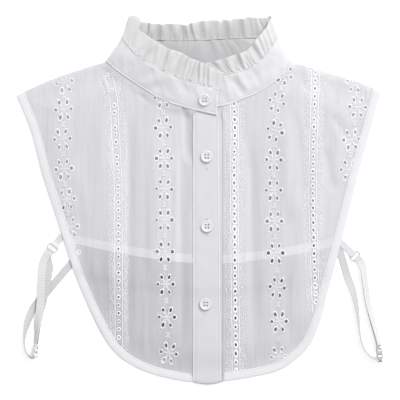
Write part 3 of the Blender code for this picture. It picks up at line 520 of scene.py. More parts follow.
def creases(x, y):
    """The listed creases and the fine vertical crinkle of the thin cloth."""
    lift = crease_lift(x, y, CREASES)
    rim = smooth((distance_to_line(x, y, FRONT_RIM) - BINDING_WIDTH) / RIM_FADE)
    crinkle = waves(x, y, CRINKLE) * (RIM_CRINKLE + (1 - RIM_CRINKLE) * rim)
    slit = crease_lift(x, y, [SLIT]) * smooth((PLACKET_LEFT - x) / 2)
    return (lift * rim + crinkle) * beside_placket(x) + slit * rim


def cloth_top(x, y):
    """Upper face of the sheer front. It rises to the band along the neck seam."""
    top = front_floor(x, y) + CLOTH + creases(x, y)
    places = np.concatenate([np.linspace(0, NECK_PLACE["fold_left"], NECK_SAMPLES),
                             np.linspace(NECK_PLACE["fold_right"], len(NECK) - 1, NECK_SAMPLES)])
    nearest = np.full(np.shape(x), FAR_AWAY)
    height = np.zeros(np.shape(x))
    for row in on_curve(NECK_ROWS, places):
        gap = np.hypot(x - row[0], y - row[1])
        closer = gap < nearest
        nearest = np.where(closer, gap, nearest)
        height = np.where(closer, row[2], height)
    rise = np.clip(height + NECK_COVER - top, 0, NECK_RISE) * (1 - smooth((nearest - 1) / NECK_REACH))
    beside = smooth((PLACKET_LEFT + SWELL_START - x) / SWELL_START)
    beside = beside * (1 - smooth((PLACKET_LEFT - 0.5 - x) / SWELL_LENGTH))
    slit = smooth((y - SLIT_LOW) / 14) * (1 - smooth((y - SLIT_HIGH) / 6))
    to_shoulder = distance_to_line(x, y, LEFT_SHOULDER)
    to_shoulder = np.minimum(to_shoulder, distance_to_line(x, y, RIGHT_SHOULDER))
    drop = SHOULDER_DROP * (1 - smooth(to_shoulder / SHOULDER_FADE))
    return np.maximum(top + rise + PLACKET_RISE * beside * (1 - slit) - drop, SHEER_THICK)


# Meshes

def placed(name, data):
    """A new object in the scene."""
    item = bpy.data.objects.new(name, data)
    bpy.context.scene.collection.objects.link(item)
    return item


def evaluated(item):
    """The plain mesh of an object as its modifiers leave it."""
    view = bpy.context.evaluated_depsgraph_get()
    return bpy.data.meshes.new_from_object(item.evaluated_get(view))


def make_piece(name, points, faces, material):
    """A smooth mesh object in place, from points in millimetres."""
    mesh = bpy.data.meshes.new(name)
    mesh.from_pydata([tuple(p) for p in np.asarray(points, float) * MM], [], faces)
    mesh.update()
    return finish_piece(name, mesh, material)


def finish_piece(name, mesh, material):
    mesh.materials.clear()
    mesh.materials.append(material)
    mesh.shade_smooth()
    return placed(name, mesh)


def loft(name, rings, material):
    """A closed form through rings of equal count, capped at both ends, with its faces outwards."""
    rings = np.asarray(rings, float)
    count, around = rings.shape[:2]
    faces = []
    for i in range(count - 1):
        for j in range(around):
            k = (j + 1) % around
            faces.append((i * around + j, i * around + k, (i + 1) * around + k, (i + 1) * around + j))
    faces.append(tuple(range(around)))
    faces.append(tuple(range((count - 1) * around, count * around)))
    piece = make_piece(name, rings.reshape(-1, 3), faces, material)
    bm = bmesh.new()
    bm.from_mesh(piece.data)
    bmesh.ops.recalc_face_normals(bm, faces=bm.faces[:])
    bm.to_mesh(piece.data)
    bm.free()
    return piece


def thicken(piece, thickness, offset):
    solid = piece.modifiers.new("cloth", "SOLIDIFY")
    solid.thickness = thickness * MM
    solid.offset = offset
    solid.use_even_offset = False


# Node trees

def join(tree, kind, inputs=None, **settings):
    """Add a node with its settings, and set or link its inputs."""
    made = tree.nodes.new(kind)
    for key, value in settings.items():
        setattr(made, key, value)
    for key, value in (inputs or {}).items():
        if isinstance(value, bpy.types.NodeSocket):
            tree.links.new(value, made.inputs[key])
        else:
            made.inputs[key].default_value = value
    return made


def new_tree(name, inputs):
    """A geometry tree with named inputs, and its input node."""
    tree = bpy.data.node_groups.new(name, "GeometryNodeTree")
    tree.interface.new_socket("Geometry", in_out="INPUT", socket_type="NodeSocketGeometry")
    for label, kind, value in inputs:
        socket = tree.interface.new_socket(label, in_out="INPUT", socket_type=kind)
        if value is not None:
            socket.default_value = value
    tree.interface.new_socket("Geometry", in_out="OUTPUT", socket_type="NodeSocketGeometry")
    return tree, tree.nodes.new("NodeGroupInput").outputs


def end_tree(tree, geometry, material):
    real = join(tree, "GeometryNodeRealizeInstances", {"Geometry": geometry})
    dressed = join(tree, "GeometryNodeSetMaterial", {"Geometry": real.outputs[0], "Material": material})
    join(tree, "NodeGroupOutput", {0: dressed.outputs[0]})
    return tree


FLOAT = "NodeSocketFloat"
COUNT = "NodeSocketInt"
FINISH = "NodeSocketMaterial"


def attribute(tree, name):
    return join(tree, "GeometryNodeInputNamedAttribute", {"Name": name}, data_type="FLOAT").outputs[0]


def copies(tree, points, shape, turn, size):
    """Copies of a shape on points, turned and stretched to half a width, a length and a height."""
    stretch = join(tree, "ShaderNodeCombineXYZ", dict(zip("XYZ", size)))
    return join(tree, "GeometryNodeInstanceOnPoints", {
        "Points": points, "Instance": shape, "Rotation": turn, "Scale": stretch.outputs[0]}).outputs[0]


def marked_copies(tree, points, shape, height):
    """Copies of a shape, turned and stretched by the points' own turn, width and length."""
    turn = join(tree, "ShaderNodeCombineXYZ", {"Z": attribute(tree, "turn")}).outputs[0]
    size = (attribute(tree, "half_width"), attribute(tree, "half_length"), height)
    return copies(tree, points, shape, turn, size)


def satin_ring_tree():
    """An overcast ring round each eyelet, thicker at the ends of a long one."""
    tree, given = new_tree("satin_rings", [
        ("Sides", COUNT, 16), ("Thread Sides", COUNT, 6), ("Width Share", FLOAT, RING_SHARE),
        ("Height", FLOAT, RING_HEIGHT), ("Thread", FINISH, None)])
    ring = join(tree, "GeometryNodeCurvePrimitiveCircle", {"Resolution": given["Sides"], "Radius": 1.0})
    wire = join(tree, "GeometryNodeCurvePrimitiveCircle", {
        "Resolution": given["Thread Sides"], "Radius": given["Width Share"]})
    shape = join(tree, "GeometryNodeCurveToMesh", {
        "Curve": ring.outputs[0], "Profile Curve": wire.outputs[0]})
    rings = marked_copies(tree, given["Geometry"], shape.outputs[0], given["Height"])
    return end_tree(tree, rings, given["Thread"])


def satin_leaf_tree():
    """A small padded leaf of satin stitch on each point."""
    tree, given = new_tree("satin_leaves", [
        ("Sides", COUNT, 8), ("Rows", COUNT, 6), ("Height", FLOAT, 0.00034), ("Thread", FINISH, None)])
    shape = join(tree, "GeometryNodeMeshUVSphere", {
        "Segments": given["Sides"], "Rings": given["Rows"], "Radius": 1.0})
    leaves = marked_copies(tree, given["Geometry"], shape.outputs["Mesh"], given["Height"])
    return end_tree(tree, leaves, given["Thread"])


def pin_stitch_tree():
    """Short stitches scattered over a strip, slanting to either side."""
    tree, given = new_tree("pin_stitches", [
        ("Spacing", FLOAT, 0.0014), ("Density", FLOAT, 900000.0), ("Half Length", FLOAT, 0.00085),
        ("Half Width", FLOAT, 0.0005), ("Height", FLOAT, 0.0006), ("Slant", FLOAT, 1.0),
        ("Seed", COUNT, 5), ("Thread", FINISH, None)])
    spots = join(tree, "GeometryNodeDistributePointsOnFaces", {
        "Mesh": given["Geometry"], "Distance Min": given["Spacing"],
        "Density Max": given["Density"], "Seed": given["Seed"]}, distribute_method="POISSON")
    low = join(tree, "ShaderNodeMath", {0: given["Slant"], 1: -1.0}, operation="MULTIPLY")
    angle = join(tree, "FunctionNodeRandomValue", {
        2: low.outputs[0], 3: given["Slant"], "Seed": given["Seed"]}, data_type="FLOAT")
    turn = join(tree, "ShaderNodeCombineXYZ", {"Z": angle.outputs[1]})
    shape = join(tree, "GeometryNodeMeshIcoSphere", {"Radius": 1.0, "Subdivisions": 1})
    pins = copies(tree, spots.outputs["Points"], shape.outputs["Mesh"], turn.outputs[0],
                  (given["Half Width"], given["Half Length"], given["Height"]))
    return end_tree(tree, pins, given["Thread"])


def raised_cord_tree():
    """A thin raised cord along a line."""
    tree, given = new_tree("raised_cord", [
        ("Radius", FLOAT, 0.0004), ("Sides", COUNT, 6), ("Thread", FINISH, None)])
    line = join(tree, "GeometryNodeMeshToCurve", {"Mesh": given["Geometry"]})
    wire = join(tree, "GeometryNodeCurvePrimitiveCircle", {
        "Resolution": given["Sides"], "Radius": given["Radius"]})
    shape = join(tree, "GeometryNodeCurveToMesh", {
        "Curve": line.outputs[0], "Profile Curve": wire.outputs[0], "Fill Caps": True})
    return end_tree(tree, shape.outputs[0], given["Thread"])


def running_stitch_tree():
    """Evenly spaced lockstitches along a line."""
    tree, given = new_tree("running_stitch", [
        ("Pitch", FLOAT, 0.0026), ("Half Length", FLOAT, 0.001), ("Half Width", FLOAT, 0.00024),
        ("Thread", FINISH, None)])
    line = join(tree, "GeometryNodeMeshToCurve", {"Mesh": given["Geometry"]})
    spots = join(tree, "GeometryNodeResampleCurve", {
        "Curve": line.outputs[0], "Length": given["Pitch"]}, mode="LENGTH")
    along = join(tree, "GeometryNodeInputTangent")
    turn = join(tree, "FunctionNodeAlignRotationToVector", {"Vector": along.outputs[0]}, axis="X")
    shape = join(tree, "GeometryNodeMeshIcoSphere", {"Radius": 1.0, "Subdivisions": 1})
    stitches = copies(tree, spots.outputs[0], shape.outputs["Mesh"], turn.outputs[0],
                      (given["Half Length"], given["Half Width"], given["Half Width"]))
    return end_tree(tree, stitches, given["Thread"])


def grown(tree, source, **values):
    """The plain mesh that a tree makes from a source mesh."""
    seed = placed("seed", source)
    growth = seed.modifiers.new("growth", "NODES")
    growth.node_group = tree
    for item in tree.interface.items_tree:
        if item.in_out == "INPUT" and item.name in values:
            growth[item.identifier] = values[item.name]
    mesh = evaluated(seed)
    bpy.data.objects.remove(seed)
    return mesh


def line_mesh(lines):
    """Loose edges along lines of points in millimetres."""
    points = []
    edges = []
    for line in lines:
        first = len(points)
        points.extend(tuple(np.asarray(p, float) * MM) for p in line)
        edges.extend((first + i, first + i + 1) for i in range(len(line) - 1))
    mesh = bpy.data.meshes.new("lines")
    mesh.from_pydata(points, edges, [])
    return mesh


def marked_points(rows):
    """Loose points with their turn, half width and half length, from rows in millimetres."""
    rows = np.asarray(rows, float)
    mesh = bpy.data.meshes.new("marks")
    mesh.from_pydata([(x * MM, y * MM, 0.0) for x, y in rows[:, :2]], [], [])
    for name, column, scale in (("turn", 2, 1.0), ("half_width", 3, MM), ("half_length", 4, MM)):
        layer = mesh.attributes.new(name, "FLOAT", "POINT")
        layer.data.foreach_set("value", rows[:, column] * scale)
    return mesh


def laid_on(mesh, height):
    """A flat mesh with its points lifted onto a surface, given by its height at flat places."""
    flat = np.empty(len(mesh.vertices) * 3)
    mesh.vertices.foreach_get("co", flat)
    flat = flat.reshape(-1, 3)
    flat[:, 2] += height(flat[:, 0] / MM, flat[:, 1] / MM) * MM
    mesh.vertices.foreach_set("co", flat.ravel())
    mesh.update()
    return mesh


def merged(name, meshes, material):
    """Several meshes as one piece."""
    bm = bmesh.new()
    for mesh in meshes:
        bm.from_mesh(mesh)
    mesh = bpy.data.meshes.new(name)
    bm.to_mesh(mesh)
    bm.free()
    return finish_piece(name, mesh, material)


# Materials

# One layer of noise: its share of the shade, its hills in a metre and how they are drawn out
EVEN = (1.0, 1.0, 1.0)
Grain = namedtuple("Grain", "share per_metre stretch", defaults=(EVEN,))
NOISE_DETAIL = 3.0
# Sheer cloth: its own shade, what the back and the back's hem add to it, and the painted light on the
# right side
SHEER_COLOUR = (0.668, 0.663, 0.692)
SHEER_BASE = (0.6, 0.61, 0.64)
SHEER_SHADE = 0.724
OVER_BACK = 0.115
OVER_HEM = 0.17
RIGHT_PAINTED_LIGHT = 0.1
RIGHT_PAINTED_LIGHT_END = 60.0
HEM_SOFT = 0.5
HEM_INNER_SOFT = 0.8
STREAKS = Grain(0.17, 260.0, (1.0, 0.06, 1.0))
BANDS = Grain(0.14, 95.0, (1.0, 0.1, 1.0))
SLUBS = Grain(1.6, 420.0, (1.0, 0.05, 1.0))
SHEER_WEAVE = 520.0
BACK_COLOUR = (0.605, 0.6, 0.627)
BACK_SHADE = 0.9
BACK_STREAKS = STREAKS._replace(share=0.12)
# Light that reaches the covered back through the thin front
THROUGH_LIGHT = 0.13
POPLIN_SHADE = 0.93
POPLIN_CLOUD = Grain(0.08, 60.0)
POPLIN_FINE = Grain(0.05, 700.0)
POPLIN_RELIEF = Grain(2.0, 240.0)
POPLIN_WEAVE = 640.0
# Painted shade in the hollow of the neck, in millimetres: it grows from one height down to another, behind
# one line and between two others; and the stretch over which painted shade turns the right of the frill
# greyer
HOLLOW_HEIGHT = (7.0, 2.5)
HOLLOW_BEHIND = (128.0, 134.0)
HOLLOW_BETWEEN = (64.0, 40.0)
RIGHT_PAINTED_SHADE_SPAN = (34.0, 72.0)
THREAD_GRAIN = 900.0
BUTTON_COLOUR = (0.72, 0.72, 0.735)
FITTING_COLOUR = (0.62, 0.625, 0.64)


def base_material(name, colour, roughness, sheen=0.0):
    material = bpy.data.materials.new(name)
    material.use_nodes = True
    tree = material.node_tree
    shader = tree.nodes["Principled BSDF"]
    shader.inputs["Base Color"].default_value = (*colour, 1.0)
    shader.inputs["Roughness"].default_value = roughness
    shader.inputs["Sheen Weight"].default_value = sheen
    place = tree.nodes.new("ShaderNodeTexCoord").outputs["Object"]
    return material, tree, shader, place


def math_node(tree, operation, first, second=0.0):
    return join(tree, "ShaderNodeMath", {0: first, 1: second}, operation=operation).outputs[0]


def plus(tree, first, second):
    return math_node(tree, "ADD", first, second)


def minus(tree, first, second):
    return math_node(tree, "SUBTRACT", first, second)


def times(tree, first, second):
    return math_node(tree, "MULTIPLY", first, second)


def ramp(tree, value, start, end, most=1.0, **settings):
    """From 0 to a highest value while another value goes from a start to an end."""
    return join(tree, "ShaderNodeMapRange", {
        "Value": value, "From Min": start, "From Max": end, "To Max": most}, **settings).outputs[0]


def axes(tree, place):
    return join(tree, "ShaderNodeSeparateXYZ", {0: place}).outputs


def noise(tree, place, per_metre, stretch=EVEN):
    """Noise between about 0 and 1, with hills per metre, drawn out along an axis."""
    mapped = join(tree, "ShaderNodeMapping", {"Vector": place, "Scale": stretch})
    return join(tree, "ShaderNodeTexNoise", {
        "Vector": mapped.outputs[0], "Scale": per_metre, "Detail": NOISE_DETAIL}).outputs[0]


def layer(tree, place, grain):
    return times(tree, noise(tree, place, grain.per_metre, grain.stretch), grain.share)


def threads(tree, place, per_metre, direction):
    """Parallel threads of the weave."""
    return join(tree, "ShaderNodeTexWave", {
        "Vector": place, "Scale": per_metre, "Distortion": 0.6, "Detail": 1.0,
        "Detail Scale": 0.4}, wave_type="BANDS", bands_direction=direction).outputs["Fac"]


def bump(tree, shader, height, strength, distance):
    made = join(tree, "ShaderNodeBump", {
        "Height": height, "Strength": strength, "Distance": distance})
    tree.links.new(made.outputs[0], shader.inputs["Normal"])


def weave_height(tree, place, per_metre):
    return times(tree, plus(tree, threads(tree, place, per_metre, "X"),
                            threads(tree, place, per_metre, "Y")), 0.5)


def tinted(tree, shader, colour, shade):
    """Colour times a shade between 0 and about 1.2."""
    mixed = join(tree, "ShaderNodeVectorMath", {0: colour, "Scale": shade}, operation="SCALE")
    tree.links.new(mixed.outputs[0], shader.inputs["Base Color"])


def sheer_base(name):
    """Thin cotton, which glows a little with the light that falls on its other side."""
    material, tree, shader, place = base_material(name, SHEER_BASE, 0.9, 0.15)
    shader.inputs["Subsurface Weight"].default_value = 0.6
    shader.inputs["Subsurface Radius"].default_value = (1.0, 1.0, 1.0)
    shader.inputs["Subsurface Scale"].default_value = 0.0015
    return material, tree, shader, place


def sheer_front_material():
    """Thin cotton: paler over the back, palest over its hem, greyer below it, and lighter to the right
    below it, which is painted light.
    """
    material, tree, shader, place = sheer_base("sheer_front")
    x, y, _ = axes(tree, place)
    off = math_node(tree, "ABSOLUTE", minus(tree, x, HEM_MIDDLE_X * MM))
    share = math_node(tree, "DIVIDE", off, HEM_HALF_SPAN * MM)
    rise = times(tree, math_node(tree, "POWER", share, HEM_POWER), HEM_RISE * MM)
    above = minus(tree, minus(tree, y, HEM_LOWEST_Y * MM), rise)

    def step(edge, soft):
        return ramp(tree, above, (edge - soft) * MM, (edge + soft) * MM,
                    interpolation_type="SMOOTHSTEP")

    over_back = times(tree, step(0.0, HEM_SOFT), OVER_BACK)
    stripe = minus(tree, step(0.0, HEM_SOFT), step(BINDING_WIDTH, HEM_INNER_SOFT))
    over_hem = times(tree, stripe, OVER_HEM)
    shade = plus(tree, plus(tree, over_back, over_hem),
                 plus(tree, layer(tree, place, STREAKS), layer(tree, place, BANDS)))
    # Painted light: below the back's hem the cloth grows lighter towards the right, where the light falls
    right = ramp(tree, x, 0.0, RIGHT_PAINTED_LIGHT_END * MM, RIGHT_PAINTED_LIGHT)
    shade = plus(tree, shade, times(tree, right, minus(tree, 1.0, step(0.0, HEM_SOFT))))
    tinted(tree, shader, SHEER_COLOUR, plus(tree, shade, SHEER_SHADE))
    height = plus(tree, layer(tree, place, SLUBS), weave_height(tree, place, SHEER_WEAVE))
    bump(tree, shader, height, 0.7, 0.00022)
    return material


def sheer_back_material():
    material, tree, shader, place = sheer_base("sheer_back")
    tinted(tree, shader, BACK_COLOUR, plus(tree, layer(tree, place, BACK_STREAKS), BACK_SHADE))
    shader.inputs["Emission Color"].default_value = (1.0, 1.0, 1.0, 1.0)
    shader.inputs["Emission Strength"].default_value = THROUGH_LIGHT
    bump(tree, shader, weave_height(tree, place, SHEER_WEAVE), 0.4, 0.0002)
    return material


def poplin_material(name, colour, hollow_painted_shade=0.0, right_painted_shade=0.0):
    """Plain poplin, closer and smoother than the sheer cloth, with painted shade in the hollow of the neck
    and, where asked, on the right.
    """
    material, tree, shader, place = base_material(name, colour, 0.8, 0.1)
    shade = plus(tree, plus(tree, layer(tree, place, POPLIN_CLOUD), layer(tree, place, POPLIN_FINE)),
                 POPLIN_SHADE)
    x, y, z = axes(tree, place)
    aside = math_node(tree, "ABSOLUTE", x)
    low, behind, between = (
        ramp(tree, value, start * MM, end * MM) for value, (start, end) in (
            (z, HOLLOW_HEIGHT), (y, HOLLOW_BEHIND), (aside, HOLLOW_BETWEEN)))
    # Painted shade: greyer low down in the hollow of the neck, where the front's band shades it
    hollow = times(tree, times(tree, low, behind), times(tree, between, hollow_painted_shade))
    # Painted shade: greyer towards the right, to tone down the light that falls there
    right = ramp(tree, x, RIGHT_PAINTED_SHADE_SPAN[0] * MM, RIGHT_PAINTED_SHADE_SPAN[1] * MM, right_painted_shade)
    tinted(tree, shader, colour, minus(tree, shade, plus(tree, hollow, right)))
    height = plus(tree, weave_height(tree, place, POPLIN_WEAVE), layer(tree, place, POPLIN_RELIEF))
    bump(tree, shader, height, 0.4, 0.00022)
    return material


def thread_material(name, colour):
    """Lustrous embroidery thread with the grain of its stitches."""
    material, tree, shader, place = base_material(name, colour, 0.5, 0.1)
    grain = threads(tree, place, THREAD_GRAIN, "DIAGONAL")
    tinted(tree, shader, colour, plus(tree, times(tree, grain, 0.08), 0.95))
    bump(tree, shader, grain, 0.4, 0.0002)
    return material


def hard_material(name, base, colour, roughness, coat, cloud, shade, relief):
    """Smooth coated plastic or metal, a little cloudy."""
    material, tree, shader, place = base_material(name, base, roughness)
    for label, value in coat.items():
        shader.inputs[label].default_value = value
    tinted(tree, shader, colour, plus(tree, layer(tree, place, cloud), shade))
    bump(tree, shader, noise(tree, place, relief), 0.1, 0.0001)
    return material


def button_material():
    return hard_material("button_plastic", BUTTON_COLOUR, BUTTON_COLOUR, 0.42,
                         {"Coat Weight": 0.12, "Coat Roughness": 0.15}, Grain(0.06, 300.0),
                         0.96, 900.0)


def fitting_material():
    return hard_material("coated_fitting", (0.6, 0.605, 0.62), FITTING_COLOUR, 0.3,
                         {"Coat Weight": 0.4}, Grain(0.08, 500.0), 0.94, 1200.0)


def elastic_material(name, colour):
    """Woven elastic: fine ribs across and along its length."""
    material, tree, shader, place = base_material(name, colour, 0.75, 0.2)
    ribs = join(tree, "ShaderNodeTexWave", {
        "Vector": join(tree, "ShaderNodeUVMap", uv_map="along").outputs[0], "Scale": 1.0,
        "Distortion": 0.3}, wave_type="BANDS", bands_direction="X").outputs["Fac"]
    tinted(tree, shader, colour, plus(tree, times(tree, ribs, 0.17), 0.87))
    bump(tree, shader, plus(tree, ribs, noise(tree, place, 900.0)), 0.6, 0.0003)
    return material


# Flat cloth with eyelets

def height_on(line, x):
    """The y of a line that runs along x, at one x."""
    ordered = np.asarray(sorted((p[0], p[1]) for p in line))
    return float(np.interp(x, ordered[:, 0], ordered[:, 1]))


def meet_shoulder(line, shoulder):
    """Start a side line on the shoulder line."""
    along = (line[0] - line[1]) / np.linalg.norm(line[0] - line[1])
    point = line[0].copy()
    for _ in range(40):
        point = point + along * (height_on(shoulder, point[0]) - point[1]) * 0.8
    return np.vstack([point, line[1:][line[1:, 1] < point[1] - 2.0]])


def side_rails(side, insets, last_y=None):
    """Side lines at several insets from the edge, from the shoulder to the centre or to one y."""
    left = side == "left"
    edge = smooth_line(LEFT_EDGE if left else RIGHT_EDGE, 3.0)
    shoulder = smooth_line(LEFT_SHOULDER if left else RIGHT_SHOULDER, 3.0)
    rails = []
    centre_x = PLACKET_LEFT - SEAM_GAP if left else STAND_RIGHT + SEAM_GAP
    for inset in insets:
        line = meet_shoulder(shifted(edge, inset if left else -inset), shoulder)
        if last_y is None:
            before = centre_x - line[:, 0] if left else line[:, 0] - centre_x
            line = line[before > 0.5]
            line = np.vstack([line, (centre_x, line[-1][1])])
        else:
            kept = line[line[:, 1] > last_y]
            after = line[len(kept)]
            t = (kept[-1][1] - last_y) / (kept[-1][1] - after[1])
            line = np.vstack([kept, kept[-1] + (after - kept[-1]) * t])
        rails.append(line)
    return rails, shoulder


def resampled(line, count):
    """The same line with a given number of even points."""
    lengths = walked(line)
    wanted = np.linspace(0, lengths[-1], count)
    return np.stack([np.interp(wanted, lengths, line[:, k]) for k in range(line.shape[1])], axis=1)


def oval(x, y, turn, half_width, half_length, count):
    """Corner points of an oval whose long way is turned from +Y."""
    angle = np.linspace(0, 2 * math.pi, count, endpoint=False)
    across = half_width * np.cos(angle)
    along = half_length * np.sin(angle)
    return np.stack([x + across * math.cos(turn) - along * math.sin(turn),
                     y + across * math.sin(turn) + along * math.cos(turn)], axis=1)


def cut_cloth(outline, holes, step):
    """Flat triangles over an outline, with holes left out."""
    low = outline.min(axis=0)
    high = outline.max(axis=0)
    net = np.stack(np.meshgrid(np.arange(low[0] + step / 2, high[0], step),
                               np.arange(low[1] + step / 2, high[1], step)), axis=-1).reshape(-1, 2)
    net[:, 0] += np.where(np.round((net[:, 1] - low[1]) / step) % 2 == 0, 0.25, -0.25) * step
    net = net[inside(net, outline)]
    net = net[distance_to_rim(net[:, 0], net[:, 1], outline) > 0.4 * step]
    for hole in holes:
        middle = hole.mean(axis=0)
        reach = np.linalg.norm(hole - middle, axis=1).max() + 0.35 * step
        net = net[np.hypot(*(net - middle).T) > reach]
    points = [outline, *holes]
    edges = []
    first = 0
    for loop in points:
        count = len(loop)
        edges.extend((first + i, first + (i + 1) % count) for i in range(count))
        first += count
    every = np.vstack(points + [net])
    found = delaunay_2d_cdt([Vector(p) for p in every], edges, [], 0, 1e-5)
    places = np.array([tuple(p) for p in found[0]])
    faces = np.array([face for face in found[2] if len(face) == 3])
    middles = places[faces].mean(axis=1)
    keep = inside(middles, outline)
    for hole in holes:
        middle = hole.mean(axis=0)
        reach = np.linalg.norm(hole - middle, axis=1).max()
        near = np.flatnonzero(np.hypot(*(middles - middle).T) < reach)
        keep[near[inside(middles[near], hole)]] = False
    a, b, c = (places[faces[:, k]] for k in range(3))
    area = (b[:, 0] - a[:, 0]) * (c[:, 1] - a[:, 1]) - (b[:, 1] - a[:, 1]) * (c[:, 0] - a[:, 0])
    keep &= np.abs(area) > 1e-4
    faces = faces[keep]
    faces[area[keep] < 0] = faces[area[keep] < 0][:, ::-1]
    used = np.unique(faces)
    renumbered = np.full(len(places), -1)
    renumbered[used] = np.arange(len(used))
    return places[used], renumbered[faces]


def on_flower(column, flower, x, y):
    """A place given from a flower's middle, after the flower's width and tilt."""
    across = x * column.width
    return (flower.x + across * math.cos(flower.tilt) - y * math.sin(flower.tilt),
            flower.y + across * math.sin(flower.tilt) + y * math.cos(flower.tilt))


def petal_rows():
    """Every petal eyelet: its column's side, place, turn, half width and half length."""
    chance = np.random.default_rng(11)
    rows = []
    for column in FLOWERS:
        for flower in column.flowers:
            for petal in PETALS:
                size = 1 + chance.uniform(-SIZE_SPREAD, SIZE_SPREAD)
                x, y = on_flower(column, flower, petal.x, petal.y)
                turn = PETAL_SLANT * -petal.x * petal.y + flower.tilt
                turn += chance.uniform(-TURN_SPREAD, TURN_SPREAD)
                rows.append((column.side, x, y, turn, petal.half_width * size, petal.half_length * size))
    return rows


def dot_rows():
    """Every small round eyelet of the dotted columns."""
    chance = np.random.default_rng(12)
    rows = []
    for column in DOTTED:
        line = smooth_line(column.line, 1.0)
        counted = np.array(column.counted, float)
        numbers = np.arange(counted[0, 0], counted[-1, 0] + 1)
        heights = np.interp(numbers, counted[:, 0], counted[:, 1])
        for x, y in zip(np.interp(-heights, -line[:, 1], line[:, 0]), heights):
            size = 1 + chance.uniform(-SIZE_SPREAD, SIZE_SPREAD)
            turn = chance.uniform(-DOT_TURN_SPREAD, DOT_TURN_SPREAD)
            longer = 1 + chance.uniform(-LENGTH_SPREAD, LENGTH_SPREAD)
            rows.append((column.side, x, y, turn, column.hole * size, column.tall * size * longer))
    return rows


def neckline(first, last, distance, step=3.0):
    """The band's lower edge seen from above, moved off the band by a distance."""
    rows = NECK_ROWS[first:last + 1]
    places, _ = even_places(rows[:, 3:6], step)
    line = on_curve(NECK_ROWS, first + places)[:, :2]
    return shifted(line, distance)


def front_outline(side):
    """The sheer front's cut line, tucked into its binding, placket and band."""
    left = side == "left"
    (rim,), shoulder = side_rails(side, [BINDING_WIDTH - TUCK])
    centre_x = PLACKET_LEFT + TUCK if left else STAND_RIGHT - STAND_TUCK
    beside = centre_x - 1.0 - rim[:, 0] if left else rim[:, 0] - centre_x - 1.0
    rim = rim[beside > 0]
    rim = np.vstack([rim, (centre_x, rim[-1][1])])
    if left:
        neck = neckline(NECK_PLACE["overlap_end"], NECK_PLACE["fold_left"], -TUCK)
    else:
        neck = neckline(NECK_PLACE["fold_right"], NECK_PLACE["under_end"], -TUCK)[::-1]
    side_sign = -1 if left else 1
    top = (centre_x, height_on(neck, centre_x))
    reach = abs(shoulder[-1][0]) - 3.0
    beyond = (side_sign * (neck[:, 0] - centre_x) > 1.5) & (np.abs(neck[:, 0]) < reach)
    neck = neck[beyond]
    rise = max(2, round((top[1] - rim[-1][1]) / FINE_STEP))
    centre = np.stack([np.full(rise, centre_x), np.linspace(rim[-1][1], top[1], rise + 1)[1:]], axis=1)
    shoulder_back = shoulder[::-1]
    shoulder_back = shoulder_back[np.abs(shoulder_back[:, 0]) < abs(rim[0][0]) - 1.5]
    return np.vstack([rim, centre, neck, shoulder_back])


def make_front(side, cloth):
    """One sheer front, with every petal and round eyelet cut through."""
    outline = front_outline(side)
    holes = []
    for row_side, x, y, turn, half_width, half_length in petal_rows() + dot_rows():
        if row_side != side:
            continue
        middle = np.array([[x, y]])
        if inside(middle, outline)[0] and distance_to_rim(x, y, outline) > half_length + HOLE_MARGIN:
            holes.append(oval(x, y, turn, half_width, half_length, HOLE_SIDES))
    places, faces = cut_cloth(outline, holes, FINE_STEP)
    heights = cloth_top(places[:, 0], places[:, 1])
    piece = make_piece(f"front_{side}_cloth", np.column_stack([places, heights]),
                       faces.tolist(), cloth)
    thicken(piece, SHEER_THICK, -1.0)
    return piece, outline


def shown_rows(rows, side, outline, margin):
    """The rows of one front that lie inside its cut line, without their side."""
    return [row[1:] for row in rows
            if row[0] == side and inside(np.array([row[1:3]]), outline)[0]
            and distance_to_rim(row[1], row[2], outline) > margin]


def leaf_rows():
    """Satin leaves: six ribs inside each flower and a diamond of four between two flowers."""
    chance = np.random.default_rng(13)
    rows = []
    for column in FLOWERS:
        for flower in column.flowers:
            for petal in PETALS:
                turn = math.atan2(petal.y, petal.x) - math.pi / 2 + flower.tilt
                share = 0.44 if abs(petal.y) > 1 else 0.36
                for leaf, x_share, y_share, spread in ((RIB, share, share, 0.1), (TIP, 1.34, 1.3, 0.15)):
                    x, y = on_flower(column, flower, petal.x * x_share, petal.y * y_share)
                    rows.append((column.side, x, y, turn + chance.uniform(-spread, spread), *leaf))
            rows.append((column.side, flower.x, flower.y, 0.0, *HEART))
        for above, below in zip(column.flowers, column.flowers[1:]):
            x = (above.x + below.x) / 2
            y = (above.y + below.y) / 2
            for way_x, way_y in ((-1, 1), (1, 1), (-1, -1), (1, -1)):
                turn = -0.5 * way_x * way_y + chance.uniform(-TURN_SPREAD, TURN_SPREAD)
                rows.append((column.side, x + DIAMOND_X * way_x, y + DIAMOND_Y * way_y, turn, *DIAMOND))
    return rows


def column_strips(column):
    """Flat outlines of the two stitched strips beside a dotted column, uneven on the outside."""
    line = smooth_line(column.line, 2.0)
    strips = []
    for way in (-1, 1):
        wobble = waves(line[:, 1], line[:, 1] * 0, [STRIP_WOBBLE], way)
        outer = shifted(line, way * STRIP_OUTER) + np.column_stack([wobble, wobble * 0])
        strips.append((shifted(line, way * STRIP_INNER), outer))
    return strips


def strip_mesh(strips, outline):
    """Flat quads between the two rails of each strip, where they lie inside the cut line."""
    points = []
    faces = []
    for inner, outer in strips:
        for i in range(len(inner) - 1):
            corners = np.array([inner[i], inner[i + 1], outer[i + 1], outer[i]])
            if inside(corners, outline).all():
                first = len(points)
                points.extend((x * MM, y * MM, 0.0) for x, y in corners)
                faces.append((first, first + 1, first + 2, first + 3))
    mesh = bpy.data.meshes.new("strips")
    mesh.from_pydata(points, [], faces)
    return mesh


def enlarged(rows, share):
    """Rows of ovals made wider and longer."""
    return [(x, y, turn, half_width * share, half_length * share)
            for x, y, turn, half_width, half_length in rows]


